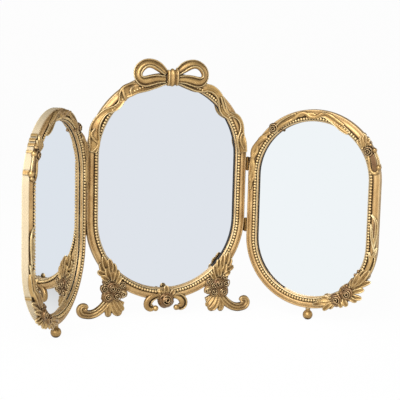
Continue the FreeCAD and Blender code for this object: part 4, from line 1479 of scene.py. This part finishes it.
@dataclass
class Studio:
    """Plain white studio: floor, backdrop, lamps and the camera."""

    floor_half: float = 3.0
    bend_steps: int = 8           # facets of the paper's bend from floor to backdrop
    bend_step: float = 0.2        # length of each, in metres
    backdrop_height: float = 3.0
    world_grey: float = 0.45
    sensor_width: float = 36.0
    lens: float = 94.911
    eye: tuple[float, float, float] = (-0.431896, -1.290720, 0.356630)
    # The camera's right, up and back.
    axes: tuple[tuple[float, float, float], ...] = (
        (0.94855887, -0.31556459, 0.02559391), (0.01835322, 0.13551133, 0.99060579),
        (-0.31606838, -0.93917819, 0.1343321))

    def paper(self, palette: Palette) -> None:
        """Lay the sheet of paper that is floor and backdrop in one.

        Args:
            palette: the finishes.
        """
        bpy.ops.object.select_all(action="DESELECT")
        bpy.ops.mesh.primitive_plane_add(size=2 * self.floor_half, location=(0, 0, 0))
        floor = bpy.context.object
        bpy.ops.object.mode_set(mode="EDIT")
        bpy.ops.mesh.select_all(action="DESELECT")
        bpy.ops.object.mode_set(mode="OBJECT")
        for edge in floor.data.edges:
            edge.select = all(floor.data.vertices[v].co.y > 0 for v in edge.vertices)
        bpy.ops.object.mode_set(mode="EDIT")
        bpy.ops.mesh.select_mode(type="EDGE")
        for turn in range(self.bend_steps):
            angle = math.radians(90 * (turn + 0.5) / self.bend_steps)
            move = (0, self.bend_step * math.cos(angle), self.bend_step * math.sin(angle))
            bpy.ops.mesh.extrude_region_move(TRANSFORM_OT_translate={"value": move})
        bpy.ops.mesh.extrude_region_move(TRANSFORM_OT_translate={"value": (0, 0, self.backdrop_height)})
        bpy.ops.object.mode_set(mode="OBJECT")
        bpy.ops.object.transform_apply(location=True, rotation=True, scale=True)
        bpy.ops.object.shade_smooth()
        floor.name = "studio_paper"
        floor.data.materials.append(palette.paper)

    def lamp(self, name: str, spot: Sequence[float], aim: Sequence[float], size: float,
             watts: float) -> None:
        """Hang a square soft lamp.

        Args:
            name: its name.
            spot: where it hangs, in metres.
            aim: the point it looks at.
            size: its width.
            watts: its power.
        """
        light = bpy.data.lights.new(name, "AREA")
        light.size = size
        light.energy = watts
        item = bpy.data.objects.new(name, light)
        item.location = spot
        item.rotation_euler = (Vector(aim) - Vector(spot)).to_track_quat("-Z", "Y").to_euler()
        bpy.context.collection.objects.link(item)

    def world(self) -> None:
        """White surroundings for the eye and for reflections, grey for the light they give."""
        world = bpy.data.worlds.new("studio")
        bpy.context.scene.world = world
        world.use_nodes = True
        tree = world.node_tree
        shader = tree.nodes["Background"]
        rays = add_node(tree, "ShaderNodeLightPath").outputs
        seen = add_node(tree, "ShaderNodeMath", {"operation": "MAXIMUM"},
                        {0: rays["Is Camera Ray"], 1: rays["Is Glossy Ray"]})
        seen = add_node(tree, "ShaderNodeMath", {"operation": "MAXIMUM"},
                        {0: seen.outputs[0], 1: rays["Is Transmission Ray"]})
        level = add_node(tree, "ShaderNodeMapRange", {"in:To Min": self.world_grey, "in:To Max": 1.0},
                         {"Value": seen.outputs[0]})
        tree.links.new(level.outputs[0], shader.inputs["Strength"])
        shader.inputs["Color"].default_value = (1, 1, 1, 1)

    def card(self, name: str, spot: Sequence[float], size: Sequence[float], turn: Sequence[float],
             finish: Material) -> None:
        """Stand or hang a card.

        Args:
            name: its name.
            spot: its middle, in metres.
            size: its width and height.
            turn: how it is turned about x, y and z, in degrees.
            finish: its material.
        """
        bpy.ops.object.select_all(action="DESELECT")
        bpy.ops.mesh.primitive_plane_add(size=1.0, location=spot, rotation=[math.radians(a) for a in turn])
        card = bpy.context.object
        card.scale = (*size, 1)
        bpy.ops.object.transform_apply(location=True, rotation=True, scale=True)
        card.name = name
        card.data.materials.append(finish)

    def camera(self) -> None:
        """Set the camera."""
        data = bpy.data.cameras.new("camera")
        data.sensor_width = self.sensor_width
        data.lens = self.lens
        item = bpy.data.objects.new("camera", data)
        turn = Matrix(self.axes).transposed().to_4x4()
        item.matrix_world = Matrix.Translation(self.eye) @ turn
        bpy.context.collection.objects.link(item)
        bpy.context.scene.camera = item

    def build(self, palette: Palette) -> None:
        """Set the studio up.

        Args:
            palette: the finishes.
        """
        self.paper(palette)
        self.lamp("key_left", (-1.05, -1.45, 1.35), (0, 0, 0.2), 1.8, 71)
        self.lamp("fill_right", (1.9, -0.6, 0.8), (0, 0, 0.18), 1.0, 4)
        self.card("dark_ceiling", (0, 0, 2.5), (9.4, 8.4), (0, 0, 0), palette.card)
        self.world()
        self.camera()
        bpy.context.scene.view_settings.view_transform = "Standard"


# Strength of the painted sheen on each frame's rim, strongest on the left wing, whose side wall faces the key
# lamp.
SHEEN = {"centre": 0.3, "left_wing": 1.0, "right_wing": 0.3}
# Depths in mm at which the shadow line starts and the silver seems to lie.
PANE_DEPTHS = {"centre": (3.2, 7.2), "left_wing": (4.4, 5.3), "right_wing": (3.6, 6.6)}


def main() -> None:
    """Build the mirror's looks and its studio."""
    palette = Palette()
    dress_nodes(palette)
    shapes = Profiles()
    for prefix, panel, seat in (("centre", CENTRE, centre_seat()),
                                ("left_wing", WING, wing_seat(Side.LEFT)),
                                ("right_wing", WING, wing_seat(Side.RIGHT))):
        FrameMoulding(panel, SHEEN[prefix]).build(prefix, seat, palette.moulding)
        BeadTrim(panel).build(prefix, seat, palette.beads)
        MirrorPane(panel, *PANE_DEPTHS[prefix]).build(prefix, seat, palette)
    for carving in (BowCrest, RibbonTails, ScrollFoot, FootSpray, ApronRose, HingeSideCarving, ArchCarving,
                    ShoulderCarving, SideLeafCarving, WingSpray):
        carving(shapes, palette).build()
        log.info("%s is done", carving.__name__)
    shapes.clear()
    Studio().build(palette)


if __name__ == "__main__":
    main()
